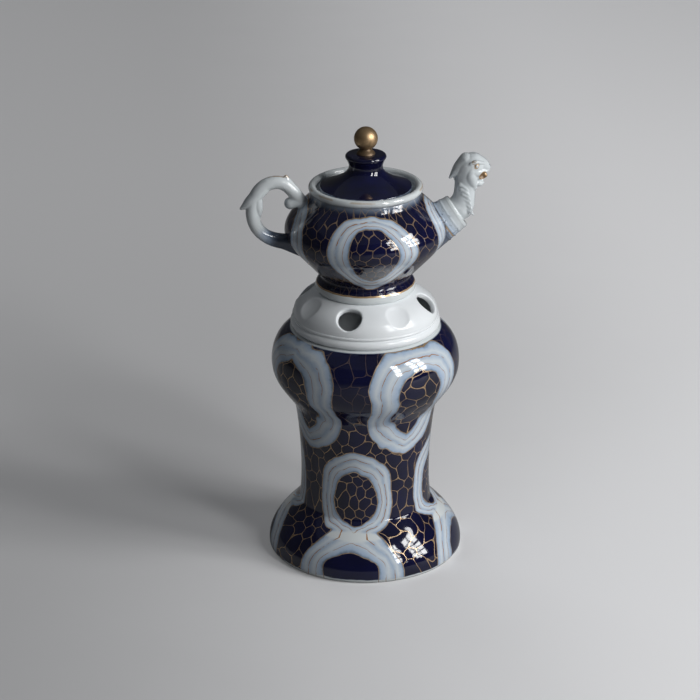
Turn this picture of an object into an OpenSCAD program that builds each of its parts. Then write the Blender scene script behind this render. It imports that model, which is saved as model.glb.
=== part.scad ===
// Porcelain teapot on a warmer stand, with a pierced collar and an oil burner inside.
// Origin: centre of the foot on the table. +Z up, +X towards the spout. Millimetres.

/* [Stand] */
// Diameter of the foot on the table
foot_d = 120; // [100:1:150]
// Height of the foot's dome, level with the burner's floor
foot_h = 33; // [24:0.5:40]
// Diameter at the crease above the foot
waist_d = 81.2; // [66:0.2:96]
// Height of the crease under the shoulder
groove_h = 96; // [84:1:112]
// Diameter at the crease under the shoulder
groove_d = 86.8; // [76:0.2:100]
// Height at which the shoulder is widest
shoulder_h = 125; // [118:1:140]
// Widest diameter of the shoulder
shoulder_d = 114.8; // [104:0.2:136]
// Height of the shoulder's flat mouth, where the collar sits
stand_h = 147.5; // [142:0.5:178]
// Bore of the mouth
mouth_d = 80; // [66:0.5:90]
// Width of the flat mouth round its bore
mouth_flat = 4.5; // [3.5:0.25:6]
// Porcelain wall of the stand
stand_wall = 4; // [3:0.25:5]
// Width of the foot ring that stands on the table
foot_ring_w = 5; // [3:0.5:8]
// Turn of the stand against the pot, as it stands
stand_turn = -15; // [-45:1:45]

/* [Burner arch] */
// Room between the burner cup and each side of the arch
arch_room = 4; // [2:0.5:6]
// Height of the arch above the floor
arch_h = 48; // [44:1:60]

/* [Collar] */
// Height of the collar, from the stand's mouth to the pot's seat
collar_h = 23.5; // [20:0.5:30]
// Overhang of the collar's rolled lip past the stand's flat mouth
lip_over = 1.1; // [0:0.1:2]
// Radius of the rolled lip's roll
lip_roll = 3; // [2:0.25:4]
// Wall of the collar
collar_wall = 3.5; // [2.5:0.25:4.5]
// Width of the collar's flat seat under the pot, round its opening
seat_w = 6; // [4:0.5:9]
// Diameter of a vent hole
vent_d = 15; // [10:0.5:16]
// Number of vent holes, with a dimple between each two
vents = 4; // [3:1:5]
// Turn of the collar against the pot, as it stands
collar_turn = -21; // [-45:1:45]
// Depth of a blind dimple
dimple_depth = 1.6; // [0.8:0.1:2.4]
// Length of each locating ring under the collar and the pot
spigot_h = 5; // [3:0.5:8]
// Wall of each locating ring
spigot_wall = 3; // [2:0.25:4]

/* [Teapot] */
// Diameter of the pot's foot
pot_foot_d = 61; // [51:0.5:73]
// Widest diameter of the belly
belly_d = 97.6; // [88:0.2:118]
// Height of the widest belly above the pot's seat
belly_h = 38; // [34:0.5:44]
// Height of the pot's neck under the rim, above its seat
pot_neck_h = 58.5; // [54:0.5:70]
// Diameter of the pot's neck under the rim
pot_neck_d = 64; // [53:0.5:76]
// Radius of the rolled rim's roll
rim_roll = 2.3; // [1.5:0.1:3]
// Wall of the pot
pot_wall = 3.2; // [2.5:0.1:4]
// Diameter of a strainer hole behind the spout
strainer_d = 3; // [2:0.25:4]

/* [Lid and knob] */
// Gap between the lid's edge and the pot's rolled rim
lid_gap = 1.9; // [0.8:0.1:3]
// Height of the lid from its edge to the knob's seat
lid_h = 20; // [16:0.5:26]
// Diameter of the disc under the knob
disc_d = 24.6; // [18:0.2:30]
// Wall of the lid
lid_wall = 3; // [2:0.25:4]
// Diameter of the gilt ball
ball_d = 14.2; // [10:0.2:20]

/* [Handle and spout] */
// Reach of the handle beyond the belly, to the tip of its leaf
handle_reach = 26.2; // [22:0.1:34]
// Height of the handle between the middles of its top and its lower root
handle_h = 37.5; // [34:0.5:46]
// Thickness of the handle
handle_t = 8; // [5:0.2:9]
// Reach of the spout beyond the belly, to the animal's nose
spout_reach = 26.2; // [22:0.1:34]
// Number of ribs round the spout's cuff
cuff_ribs = 4; // [3:1:6]

/* [Burner] */
// Diameter of the burner cup
cup_d = 40; // [32:0.5:48]
// Height of the burner cup
cup_h = 24; // [20:0.5:30]
// Wall of the burner cup
cup_wall = 3; // [2:0.25:4]
// Thickness of the cork float
float_t = 6; // [4:0.5:8]
// Diameter of the wick
wick_d = 3; // [2:0.25:4]

/* [Fits] */
// Radial clearance of each locating ring
spigot_room = 0.7; // [0.4:0.1:1.2]
// Radial clearance of the float in the cup
float_room = 3; // [2:0.5:4]
// Gap between a small piece and the one it is luted or threaded into
slip = 0.2; // [0.1:0.05:0.4]
// Gap that the glaze leaves under the pot and under the collar, on their seats
seat_gap = 0.05; // [0.02:0.01:0.3]

/* [Hidden] */
$fn = 96;
bead_sides = 13;
cut = 0.5;
steps = 9;

// Glaze and metal colours
cobalt = [0.03, 0.04, 0.17];
white_glaze = [0.84, 0.86, 0.87];
gilt = [0.62, 0.47, 0.22];
cork = [0.62, 0.46, 0.30];
tin = [0.66, 0.66, 0.66];
cotton = [0.88, 0.85, 0.76];

// Curves in the profile plane: [radius, height]
function mix(a, b, t) = a + (b - a) * t;
function unit(v) = v / norm(v);
function left_of(v) = [-v[1], v[0]];
function flip(list) = [for (i = [len(list) - 1 : -1 : 0]) list[i]];
function bez_at(p, t) =
    pow(1 - t, 3) * p[0] + 3 * pow(1 - t, 2) * t * p[1] + 3 * (1 - t) * t * t * p[2] + pow(t, 3) * p[3];
function bez_dir(p, t) =
    unit(pow(1 - t, 2) * (p[1] - p[0]) + 2 * (1 - t) * t * (p[2] - p[1]) + t * t * (p[3] - p[2]));
function bez(p) = [for (i = [0 : steps]) bez_at(p, i / steps)];
// The same curve set over to its left by d, which is inwards on a profile that is drawn upwards
function bez_in(p, d, from = 0) =
    [for (i = [0 : steps]) let (t = mix(from, 1, i / steps)) bez_at(p, t) + d * left_of(bez_dir(p, t))];
function arc(c, r, a0, a1) =
    [for (i = [0 : steps]) c + r * [cos(mix(a0, a1, i / steps)), sin(mix(a0, a1, i / steps))]];

// Stand: four curves, from the foot to the mouth
foot_r = foot_d / 2;
waist_r = waist_d / 2;
groove_r = groove_d / 2;
shoulder_r = shoulder_d / 2;
mouth_r = mouth_d / 2;
mouth_rim_r = mouth_r + mouth_flat;
foot_edge = 2;
foot_curve = [
    [foot_r, foot_edge], [foot_r + 1, foot_h * 0.42],
    [mix(waist_r, foot_r, 0.64), foot_h * 0.73], [waist_r + 1.4, foot_h]
];
waist_curve = [
    [waist_r, foot_h + 0.3], [waist_r - 1.4, mix(foot_h, groove_h, 0.24)],
    [waist_r - 0.8, mix(foot_h, groove_h, 0.67)], [groove_r - 0.4, groove_h - 1]
];
under_curve = [
    [groove_r, groove_h + 1], [mix(groove_r, shoulder_r, 0.33), mix(groove_h, shoulder_h, 0.35)],
    [shoulder_r, mix(groove_h, shoulder_h, 0.56)], [shoulder_r, shoulder_h]
];
over_curve = [
    [shoulder_r, shoulder_h], [shoulder_r, mix(shoulder_h, stand_h, 0.53)],
    [mix(shoulder_r, mouth_rim_r, 0.42), mix(shoulder_h, stand_h, 0.84)], [mouth_rim_r, stand_h]
];
floor_z = foot_h;

// Collar: its dome, from the lip to the pot's seat
pot_z = stand_h + collar_h;
pot_foot_r = pot_foot_d / 2;
seat_r = pot_foot_r - 1;
seat_z = pot_z - seat_gap;
collar_mouth_r = seat_r - seat_w;
lip_r = mouth_rim_r + lip_over;
dome_r = lip_r - 1.6;
spigot_r = mouth_r - spigot_room;
bead_r = 1.1;
bead_z = stand_h + 2 * lip_roll + bead_r;
dome_curve = [
    [dome_r, bead_z + 0.6], [dome_r, mix(bead_z, pot_z, 0.5)],
    [mix(lip_r, pot_foot_r, 0.54), mix(bead_z, pot_z, 0.78)], [seat_r, seat_z]
];
vent_t = 0.56;
vent_dir = bez_dir(dome_curve, vent_t);
vent_at = bez_at(dome_curve, vent_t) + collar_wall / 2 * left_of(vent_dir);
vent_tilt = atan2(vent_dir[1], -vent_dir[0]);
dimple_r = (pow(vent_d / 2, 2) + pow(dimple_depth, 2)) / (2 * dimple_depth);

// Teapot: foot, lower and upper belly, neck and rim
belly_r = belly_d / 2;
pot_neck_r = pot_neck_d / 2;
belly_z = pot_z + belly_h;
pot_neck_z = pot_z + pot_neck_h;
pot_foot_h = 7.5;
waist_fillet = 6;
pot_floor_z = pot_z + 9.5;
pot_floor_t = 4.5;
pot_spigot_r = collar_mouth_r - spigot_room;
foot_roll = [
    [pot_foot_r - 1.5, pot_z], [pot_foot_r + 0.9, pot_z + 1.2],
    [pot_foot_r, pot_z + pot_foot_h - 1.5], [pot_foot_r - 2.7, pot_z + pot_foot_h]
];
foot_neck = [
    foot_roll[3], foot_roll[3] + [-1.6, 1.6], foot_roll[3] + [-0.6, waist_fillet - 2],
    foot_roll[3] + [2.9, waist_fillet]
];
lower_belly = [
    foot_neck[3], [mix(foot_neck[3][0], belly_r, 0.45), mix(foot_neck[3][1], belly_z, 0.38)],
    [belly_r, mix(foot_neck[3][1], belly_z, 0.72)], [belly_r, belly_z]
];
upper_belly = [
    [belly_r, belly_z], [belly_r, mix(belly_z, pot_neck_z, 0.34)],
    [mix(belly_r, pot_neck_r, 0.34), mix(belly_z, pot_neck_z, 0.62)], [pot_neck_r + 2, pot_neck_z]
];
rim_c = [pot_neck_r, pot_neck_z + 6];
ledge_z = rim_c[1] - 1.3;
lid_r = pot_neck_r - rim_roll - lid_gap;
ledge_w = 2.2;
ledge_r = lid_r - ledge_w;
lid_flange_r = ledge_r - spigot_room;
lid_flange_h = 6.5;
strainer_pitch = 5.2;

// Lid: its ogee, from the edge to the neck, and the disc that carries the knob
lid_edge_t = 2.2;
disc_r = disc_d / 2;
lid_neck_r = disc_r - 2;
disc_roll = 1.6;
lid_top_z = ledge_z + lid_edge_t + lid_h;
ogee_z = lid_top_z - 8.7;
ogee_curve = [
    [lid_r - 0.5, ledge_z + lid_edge_t + 0.6], [mix(lid_r, lid_neck_r, 0.36), ledge_z + lid_edge_t + 2.2],
    [lid_neck_r + 1.2, mix(ledge_z, ogee_z, 0.62)], [lid_neck_r, ogee_z]
];
neck_curve = [
    [lid_neck_r, ogee_z], [lid_neck_r - 0.4, ogee_z + 2],
    [lid_neck_r + 0.2, ogee_z + 3.2], [disc_r - disc_roll + 0.6, lid_top_z - 3.6]
];
ball_r = ball_d / 2;
knob_neck_h = 4.4;
knob_neck_low_r = ball_r * 0.79;
knob_neck_top_r = ball_r * 0.46;
knob_pin_r = 3;
knob_pin_h = 6;
ball_z = lid_top_z + knob_neck_h + ball_r * 0.72;

// Burner: the cup stands on the floor and the dry float on the cup's bottom
cup_r = cup_d / 2;
arch_w = cup_d + 2 * arch_room;
cup_lip = 1.2;
cup_lip_h = 3;
cup_in_r = cup_r - cup_lip - cup_wall;
cup_chamfer = 2;
cup_bottom_z = floor_z + cup_wall;
cup_top_z = floor_z + cup_h;
float_r = cup_in_r - float_room;
plate_t = 0.8;
plate_rim = 4;
plate_r = float_r - plate_rim;
wick_bore_r = wick_d / 2 + slip;
tube_r = wick_bore_r + 0.6;
tube_h = 4;
float_z = cup_bottom_z;
plate_z = float_z + float_t;
wick_up = 5;
loop_r = 8;
loop_t = 3;
loop_w = 6;

// A solid turned from a profile
module turned(profile) {
    rotate_extrude() polygon(profile);
}

// Rings [x, z, tilt, half depth, half width] across the XZ plane, joined into one closed skin
module skin(rings, sides) {
    count = len(rings);
    points = [
        for (g = rings)
            for (k = [0 : sides - 1])
                let (a = 360 * k / sides, d = g[3] * cos(a), w = -g[4] * sin(a))
                    [g[0] + d * sin(g[2]), w, g[1] + d * cos(g[2])]
    ];
    walls = [
        for (i = [0 : count - 2])
            for (k = [0 : sides - 1])
                let (a = i * sides + k, b = i * sides + (k + 1) % sides)
                    each [[a, a + sides, b], [b, a + sides, b + sides]]
    ];
    last = (count - 1) * sides;
    first_cap = [for (k = [1 : sides - 2]) [0, k, k + 1]];
    last_cap = [for (k = [1 : sides - 2]) [last, last + k + 1, last + k]];
    polyhedron(points, concat(walls, first_cap, last_cap), convexity = 6);
}

// A rounded bead at [x, y, z], and a limb of beads [x, y, z, radius] joined one to the next
module bead(b, flat = 1) {
    translate([b[0], b[1], b[2]]) scale([1, flat, 1]) sphere(b[3], $fn = bead_sides);
}

module limb(beads, flat = 1) {
    for (i = [0 : len(beads) - 2])
        hull() {
            bead(beads[i], flat);
            bead(beads[i + 1], flat);
        }
}

// The pot's outside with its slip joint, which the spout and handle are cut back to
module pot_outside() {
    turned(concat(
        [[0, pot_z]],
        [[pot_foot_r, pot_z]],
        bez_in(foot_neck, -slip),
        bez_in(lower_belly, -slip),
        bez_in(upper_belly, -slip),
        [[pot_neck_r + slip, pot_neck_z + 2], [0, pot_neck_z + 2]]
    ));
}

// Stand

module stand_shell() {
    outside = concat(
        [[foot_r - foot_ring_w, 0], [foot_r - foot_edge * 0.75, 0]],
        bez(foot_curve),
        bez(waist_curve),
        bez(under_curve),
        bez(over_curve)
    );
    inside = concat(
        [[mouth_r, stand_h], [mouth_r, stand_h - stand_wall]],
        flip(bez_in(over_curve, stand_wall)),
        flip(bez_in(under_curve, stand_wall)),
        flip(bez_in(waist_curve, stand_wall)),
        [[waist_r - stand_wall, floor_z], [0, floor_z], [0, floor_z - stand_wall]]
    );
    turned(concat(outside, inside, flip(bez_in(foot_curve, stand_wall))));
}

module arch_cut() {
    rise = arch_h - arch_w / 2;
    translate([0, 0, floor_z]) rotate([90, 0, 180]) linear_extrude(shoulder_r) {
        translate([-arch_w / 2, 0]) square([arch_w, rise]);
        translate([0, rise]) circle(d = arch_w);
    }
}

module stand() {
    color(cobalt) rotate(stand_turn) difference() {
        stand_shell();
        arch_cut();
    }
}

// Collar

module vent_spots(first) {
    for (i = [0 : vents - 1])
        rotate(-90 + first + 360 / vents * i)
            translate([vent_at[0], 0, vent_at[1]]) rotate([0, vent_tilt, 0]) children();
}

module collar_shell() {
    lip_z = stand_h + seat_gap;
    lip_c = [lip_r - lip_roll, lip_z + lip_roll];
    turned(concat(
        [[spigot_r, stand_h - spigot_h], [spigot_r, lip_z]],
        arc(lip_c, lip_roll, -90, 60),
        arc([dome_r - bead_r * 0.4, bead_z], bead_r, -60, 60),
        bez(dome_curve),
        [[collar_mouth_r, seat_z], [collar_mouth_r, seat_z - collar_wall]],
        flip(bez_in(dome_curve, collar_wall)),
        [[spigot_r - spigot_wall, stand_h + lip_roll], [spigot_r - spigot_wall, stand_h - spigot_h]]
    ));
}

module vent_collar() {
    color(white_glaze) rotate(collar_turn) difference() {
        collar_shell();
        vent_spots(0) cylinder(d = vent_d, h = 6 * collar_wall, center = true);
        vent_spots(180 / vents)
            translate([0, 0, collar_wall / 2 + dimple_r - dimple_depth]) sphere(dimple_r);
    }
}

// Burner

module burner_cup() {
    color(white_glaze) rotate(stand_turn) turned([
        [0, floor_z], [cup_r - cup_lip - cup_chamfer, floor_z], [cup_r - cup_lip, floor_z + cup_chamfer],
        [cup_r - cup_lip, cup_top_z - cup_lip_h], [cup_r, cup_top_z - cup_lip_h / 2], [cup_r, cup_top_z],
        [cup_r - cup_wall, cup_top_z], [cup_in_r, cup_top_z - cup_lip_h],
        [cup_in_r, cup_bottom_z + cup_chamfer], [cup_in_r - cup_chamfer, cup_bottom_z], [0, cup_bottom_z]
    ]);
}

module burner_handle() {
    color(white_glaze) rotate(stand_turn) difference() {
        translate([0, cup_r + loop_r / 2, floor_z + cup_h / 2 - 1]) rotate([0, 90, 0])
            linear_extrude(loop_w, center = true) difference() {
                circle(loop_r);
                circle(loop_r - loop_t);
            }
        cylinder(r = cup_r - cup_lip + slip, h = stand_h);
    }
}

module wick_float() {
    color(cork) translate([0, 0, float_z]) difference() {
        cylinder(r = float_r, h = float_t);
        translate([0, 0, -cut]) cylinder(r = wick_bore_r + slip, h = float_t + 2 * cut);
    }
}

module wick_plate() {
    color(tin) translate([0, 0, plate_z]) difference() {
        union() {
            cylinder(r = plate_r, h = plate_t);
            cylinder(r = tube_r, h = tube_h);
        }
        translate([0, 0, -cut]) cylinder(r = wick_bore_r, h = tube_h + 2 * cut);
    }
}

module wick() {
    color(cotton) translate([0, 0, float_z + slip])
        cylinder(d = wick_d, h = float_t + tube_h + wick_up - slip);
}

// Teapot

module pot_shell() {
    lower_in = bez_in(lower_belly, pot_wall);
    bowl = [
        lower_in[0], lower_in[0] + [-4, -3], [pot_foot_r * 0.6, pot_floor_z + 0.3], [0, pot_floor_z]
    ];
    turned(concat(
        [[pot_spigot_r, pot_z - spigot_h], [pot_spigot_r, pot_z]],
        bez(foot_roll),
        bez(foot_neck),
        bez(lower_belly),
        bez(upper_belly),
        arc(rim_c, rim_roll, -80, 180),
        [[rim_c[0] - rim_roll, ledge_z], [ledge_r, ledge_z], [ledge_r, ledge_z - pot_wall]],
        flip(bez_in(upper_belly, pot_wall)),
        flip(lower_in),
        bez(bowl),
        [[0, pot_floor_z - pot_floor_t], [pot_spigot_r - spigot_wall, pot_floor_z - pot_floor_t]],
        [[pot_spigot_r - spigot_wall, pot_z - spigot_h]]
    ));
}

module strainer_holes() {
    drill = belly_r;
    translate([belly_r - drill / 2, 0, belly_z + spout_root[1]]) {
        rotate([0, 90, 0]) cylinder(d = strainer_d, h = drill);
        for (a = [30 : 60 : 330])
            translate([0, strainer_pitch * cos(a), strainer_pitch * sin(a)])
                rotate([0, 90, 0]) cylinder(d = strainer_d, h = drill);
    }
}

module teapot_body() {
    color(cobalt) difference() {
        pot_shell();
        strainer_holes();
    }
}

// Spout: a ribbed cuff, from which an animal's neck and head rise.
// Its points are drawn from the belly's widest point for a reach of spout_drawn.
spout_drawn = 26.2;
spout_k = spout_reach / spout_drawn;
spout_root = [-4.1, 2.4];
cuff_start = [-14, -4.1];
cuff_end = [6.7, 9.6];
cuff_root_r = [14, 11.6];
cuff_end_r = [10.8, 9.2];
rib_rise = 0.5;
rib_rings = 4;
cuff_bare = 0.38;
mane_teeth = 5;

module spout_frame() {
    translate([belly_r, 0, belly_z]) scale(spout_k) children();
}

module cuff() {
    way = cuff_end - cuff_start;
    lean = atan2(way[1], way[0]);
    rings = [
        [0, 0],
        for (i = [0 : cuff_ribs * rib_rings])
            let (s = i / rib_rings) [mix(cuff_bare, 1, s / cuff_ribs), abs(sin(180 * s))]
    ];
    skin([
        for (g = rings)
            let (c = mix(cuff_start, cuff_end, g[0]), r = mix(cuff_root_r, cuff_end_r, g[0]))
                [c[0], c[1], -lean, r[0] + rib_rise * g[1], r[1] + rib_rise * g[1]]
    ], 28);
}

module neck_and_skull() {
    skin([
        [3.5, 7.5, -45, 6, 6], [7.2, 11, -52, 8.2, 7.6], [9, 14.5, -66, 7.6, 7], [9.6, 19, -82, 6.7, 6.4],
        [10, 23.5, -88, 6.5, 6], [11, 28.5, -90, 7.4, 6.4], [12.6, 34, -90, 8.8, 7.4],
        [13.6, 38.6, -90, 9.4, 7.6], [14.3, 42, -90, 7.8, 6.5], [14.8, 44.4, -90, 5, 4.4],
        [15.2, 45.6, -90, 2.2, 2]
    ], 20);
}

module muzzle_and_jaw() {
    skin([
        [14, 39.4, 0, 5.9, 5.9], [18, 39.2, 0, 5.6, 5.3], [21.5, 38.4, 0, 4.8, 4.5],
        [24, 37.5, 0, 3.6, 3.5], [25.6, 36.9, 0, 2.1, 2.3], [26.2, 36.7, 0, 0.9, 1.1]
    ], 16);
    skin([
        [12, 31, 0, 5.3, 5.2], [16, 29.7, 0, 3.6, 4.4], [19, 28.8, 0, 2.2, 3.2], [20.9, 28.6, 0, 1.1, 1.7]
    ], 16);
}

module brow_eye_and_cheek(side) {
    hull() {
        bead([14.2, side * 6.4, 41.8, 1.3]);
        bead([19.8, side * 5, 41.2, 1]);
    }
    bead([16.6, side * 6.6, 39.6, 1.5]);
    limb([[10.6, side * 6.8, 39.4, 1.3], [10.8, side * 6.6, 32, 1.6], [14.8, side * 4.4, 24, 0.9]]);
}

module crest() {
    limb([[11.5, 0, 41.4, 4.4], [6.6, 0, 36.2, 3.2], [2.2, 0, 30.8, 0.6]], 0.66);
    hull() {
        bead([6.5, 0, 34.6, 2.2], 0.6);
        bead([2.4, 0, 31, 0.5], 0.6);
        bead([6.3, 0, 27.8, 1.4], 0.6);
    }
}

// Feather points down each side of the neck, over its back half
module mane() {
    for (side = [-1, 1])
        for (i = [0 : mane_teeth - 1]) {
            s = i / (mane_teeth - 1);
            hull() {
                bead([mix(6, 9, s), side * mix(5.2, 7, s), mix(29, 13, s), 1.6]);
                bead([mix(9.8, 14.2, s), side * mix(6, 6.2, s), mix(26.2, 9.6, s), 0.6]);
            }
        }
}

module pour_way() {
    skin([
        [-14, -4.2, -34, 10, 9], [0, 5, -34, 7.6, 7], [6.5, 10.5, -50, 4.6, 4.6], [9.3, 17, -78, 3.3, 3.3],
        [10.2, 25, -80, 3.1, 3.1], [12, 30.5, -55, 2.9, 2.9], [16, 32.4, -15, 2.5, 3],
        [20, 32.4, 0, 2, 4.2], [29, 32.2, 0, 2.3, 5]
    ], 14);
}

module spout() {
    color(white_glaze) difference() {
        spout_frame() difference() {
            union() {
                cuff();
                neck_and_skull();
                muzzle_and_jaw();
                brow_eye_and_cheek(-1);
                brow_eye_and_cheek(1);
                crest();
                mane();
            }
            pour_way();
        }
        pot_outside();
    }
}

// Handle: an open scroll with a leaf tip at its top and another on its back.
// Its points are shares of handle_reach beyond the belly and of handle_h above the lower root.
handle_low = -6;
root_swell = 0.32;
leaf_beads = [[0.46, 0.91, 0.44], [0.66, 0.77, 0.44], [0.83, 0.665, 0.34], [0.985, 0.575, 0.12]];
tip_beads = [[-0.26, 0.74, 0.46], [-0.13, 0.9, 0.42], [-0.05, 1.08, 0.14]];
curl_beads = [[-0.28, 0.66, 0.42], [-0.135, 0.645, 0.42]];
vein_beads = [[0.46, 0.86, 0.34], [0.62, 0.7, 0.3], [0.62, 0.6, 0.12]];

function on_handle(p) = [p[0] * handle_reach, handle_low + p[1] * handle_h];
function handle_bead(b, y = 0) = [on_handle(b)[0], y, on_handle(b)[1], b[2] * handle_t];

handle_curves = [
    [[-0.62, 0.44], [-0.28, 0.7], [-0.16, 1.0], [0.2, 0.995]],
    [[0.2, 0.995], [0.54, 0.985], [0.745, 0.76], [0.735, 0.5]],
    [[0.735, 0.5], [0.72, 0.2], [0.43, 0.04], [0.05, 0]],
    [[0.05, 0], [-0.11, -0.02], [-0.3, -0.05], [-0.62, -0.1]]
];

module handle_rod() {
    half = handle_t / 2;
    stations = [
        for (k = [0 : 3])
            for (i = [0 : steps - 1])
                let (t = i / steps, c = handle_curves[k])
                    [on_handle(bez_at(c, t)), bez_dir(c, t), k + t]
    ];
    skin([
        for (s = stations)
            let (
                swell = 1 + root_swell * max(0, s[2] - 2.6),
                lean = atan2(s[1][1] * handle_h, s[1][0] * handle_reach)
            )
                [s[0][0], s[0][1], -lean, half * swell, half]
    ], 16);
}

module handle() {
    color(white_glaze) difference() {
        mirror([1, 0, 0]) translate([belly_r, 0, belly_z]) {
            handle_rod();
            limb([for (b = leaf_beads) handle_bead(b)], 0.85);
            limb([for (b = tip_beads) handle_bead(b)], 0.85);
            limb([for (b = curl_beads) handle_bead(b)], 1.2);
            for (side = [-1, 1])
                limb([for (b = vein_beads) handle_bead(b, side * handle_t * 0.24)]);
        }
        pot_outside();
    }
}

// Lid and knob

module lid_shell() {
    inside_from = 0.22;
    ogee_in = bez_in(ogee_curve, lid_wall, inside_from);
    turned(concat(
        [[lid_flange_r, ledge_z - lid_flange_h], [lid_flange_r, ledge_z], [lid_r - 0.4, ledge_z]],
        [[lid_r, ledge_z + 0.4], [lid_r, ledge_z + lid_edge_t]],
        bez(ogee_curve),
        bez(neck_curve),
        arc([disc_r - disc_roll, lid_top_z - disc_roll], disc_roll, -40, 90),
        [[knob_pin_r + slip, lid_top_z], [knob_pin_r + slip, lid_top_z - knob_pin_h - slip]],
        [[0, lid_top_z - knob_pin_h - slip], [0, ogee_z - lid_wall]],
        [[ogee_in[steps][0], ogee_z - lid_wall]],
        flip(ogee_in),
        [[lid_flange_r - spigot_wall, ledge_z], [lid_flange_r - spigot_wall, ledge_z - lid_flange_h]]
    ));
}

module lid() {
    color(cobalt) lid_shell();
}

module knob() {
    color(gilt) {
        translate([0, 0, ball_z]) sphere(ball_r);
        translate([0, 0, lid_top_z]) cylinder(r1 = knob_neck_low_r, r2 = knob_neck_top_r, h = knob_neck_h);
        translate([0, 0, lid_top_z - knob_pin_h]) cylinder(r = knob_pin_r, h = knob_pin_h + knob_neck_h);
    }
}

stand();
vent_collar();
burner_cup();
burner_handle();
wick_float();
wick_plate();
wick();
teapot_body();
spout();
handle();
lid();
knob();
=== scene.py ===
"""Looks of a porcelain teapot on its warmer stand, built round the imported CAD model."""

import math

import bmesh
import bpy
import numpy as np
from bpy.props import FloatProperty, FloatVectorProperty, IntProperty, PointerProperty
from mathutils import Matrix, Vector


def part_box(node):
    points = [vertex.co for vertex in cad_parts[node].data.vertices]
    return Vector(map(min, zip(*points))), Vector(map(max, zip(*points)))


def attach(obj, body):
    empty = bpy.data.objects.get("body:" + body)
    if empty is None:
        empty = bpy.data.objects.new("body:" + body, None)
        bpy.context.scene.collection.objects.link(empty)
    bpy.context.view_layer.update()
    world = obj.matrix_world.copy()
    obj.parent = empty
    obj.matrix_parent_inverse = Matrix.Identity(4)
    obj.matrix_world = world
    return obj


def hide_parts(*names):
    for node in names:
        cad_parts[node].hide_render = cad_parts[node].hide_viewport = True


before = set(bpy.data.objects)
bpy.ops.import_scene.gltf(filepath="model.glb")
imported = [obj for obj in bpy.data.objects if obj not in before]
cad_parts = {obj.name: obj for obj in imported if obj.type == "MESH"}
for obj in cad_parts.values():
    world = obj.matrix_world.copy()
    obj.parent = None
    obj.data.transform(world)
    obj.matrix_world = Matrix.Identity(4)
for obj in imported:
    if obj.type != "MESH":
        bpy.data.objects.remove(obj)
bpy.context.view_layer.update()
MM = 0.001
ROUND = 192
CREASE = 50
CORNER = 24
LIMB_SIDES = 28
LIMB_STEPS = 8
LIMB_CAP = np.radians([15, 30, 45, 60, 75, 90])

bl_info = {
    "name": "Porcelain Teapot on a Warmer Stand",
    "version": (1, 0, 0),
    "blender": (4, 5, 0),
    "location": "View3D > Sidebar > Warmer",
    "description": "Glazed and gilt pieces of a table tea warmer, made on its CAD frame",
    "category": "Object",
}


# Settings

def length(name, description, millimetres):
    metres = millimetres * MM
    return FloatProperty(name=name, description=description, default=metres, unit="LENGTH", precision=5)


def angle(name, description, degrees):
    return FloatProperty(name=name, description=description, default=math.radians(degrees), subtype="ANGLE")


def share(name, description, value):
    return FloatProperty(name=name, description=description, default=value, subtype="FACTOR", min=0, max=1)


def power(name, description, watts):
    return FloatProperty(name=name, description=description, default=watts, min=0, unit="POWER")


def number(name, description, value):
    return IntProperty(name=name, description=description, default=value, min=1)


def colour(name, description, red, green, blue):
    return FloatVectorProperty(
        name=name, description=description, default=(red, green, blue), subtype="COLOR", size=3, min=0, max=1
    )


def top_of(node):
    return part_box(node)[1].z / MM


def foot_of(node):
    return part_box(node)[0].z / MM


class StandSizes(bpy.types.PropertyGroup):
    turn: angle("Turn", "Turn of the stand against the pot", -15)
    wall: length("Wall", "Thickness of the stand's wall", 4)
    floor: length("Floor", "Height of the burner's floor", 33)
    arch_width: length("Arch width", "Width of the burner's arch", 48)
    arch_rise: length("Arch rise", "Height of the arch above the floor", 48)
    rim: length("Arch rim", "Rounding of the arch's glazed edge", 1.1)


class CollarSizes(bpy.types.PropertyGroup):
    turn: angle("Turn", "Turn of the collar against the pot", -21)
    wall: length("Wall", "Thickness of the collar's wall", 3.5)
    lip_roll: length("Lip roll", "Radius of the rolled lip", 3)
    vent_width: length("Vent width", "Width of a vent hole", 15)
    dimple_depth: length("Dimple depth", "Depth of a blind dimple", 1.6)
    vents: number("Vents", "Vent holes round the collar, with a dimple between each two", 4)


class PotSizes(bpy.types.PropertyGroup):
    wall: length("Wall", "Thickness of the pot's wall", 3.2)
    rim_roll: length("Rim roll", "Radius of the rolled rim", 2.3)
    strainer_hole: length("Strainer hole", "Width of a hole behind the spout", 3)
    strainer_pitch: length("Strainer pitch", "Distance between the strainer's holes", 5.2)
    ribs: number("Cuff ribs", "Ribs round the spout's cuff", 4)
    rib_rise: length("Rib rise", "Height of a rib on the cuff", 0.5)
    feathers: number("Feathers", "Feather points down each side of the neck", 6)
    handle_thickness: length("Handle", "Thickness of the handle's rod", 8)
    skin: length("Skin", "Grain at which the moulded spout and handle are fused", 0.34)


class LidSizes(bpy.types.PropertyGroup):
    wall: length("Wall", "Thickness of the lid's wall", 3)
    disc_radius: length("Disc radius", "Radius of the disc under the knob", 12.3)
    ball_radius: length("Ball radius", "Radius of the gilt ball", 7.1)


class BurnerSizes(bpy.types.PropertyGroup):
    wall: length("Wall", "Thickness of the oil cup's wall", 3)
    loop_radius: length("Loop radius", "Radius of the cup's ring handle", 8)
    loop_thickness: length("Loop thickness", "Thickness of the cup's ring handle", 3)
    plait: number("Plait", "Strands in the wick", 5)


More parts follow.
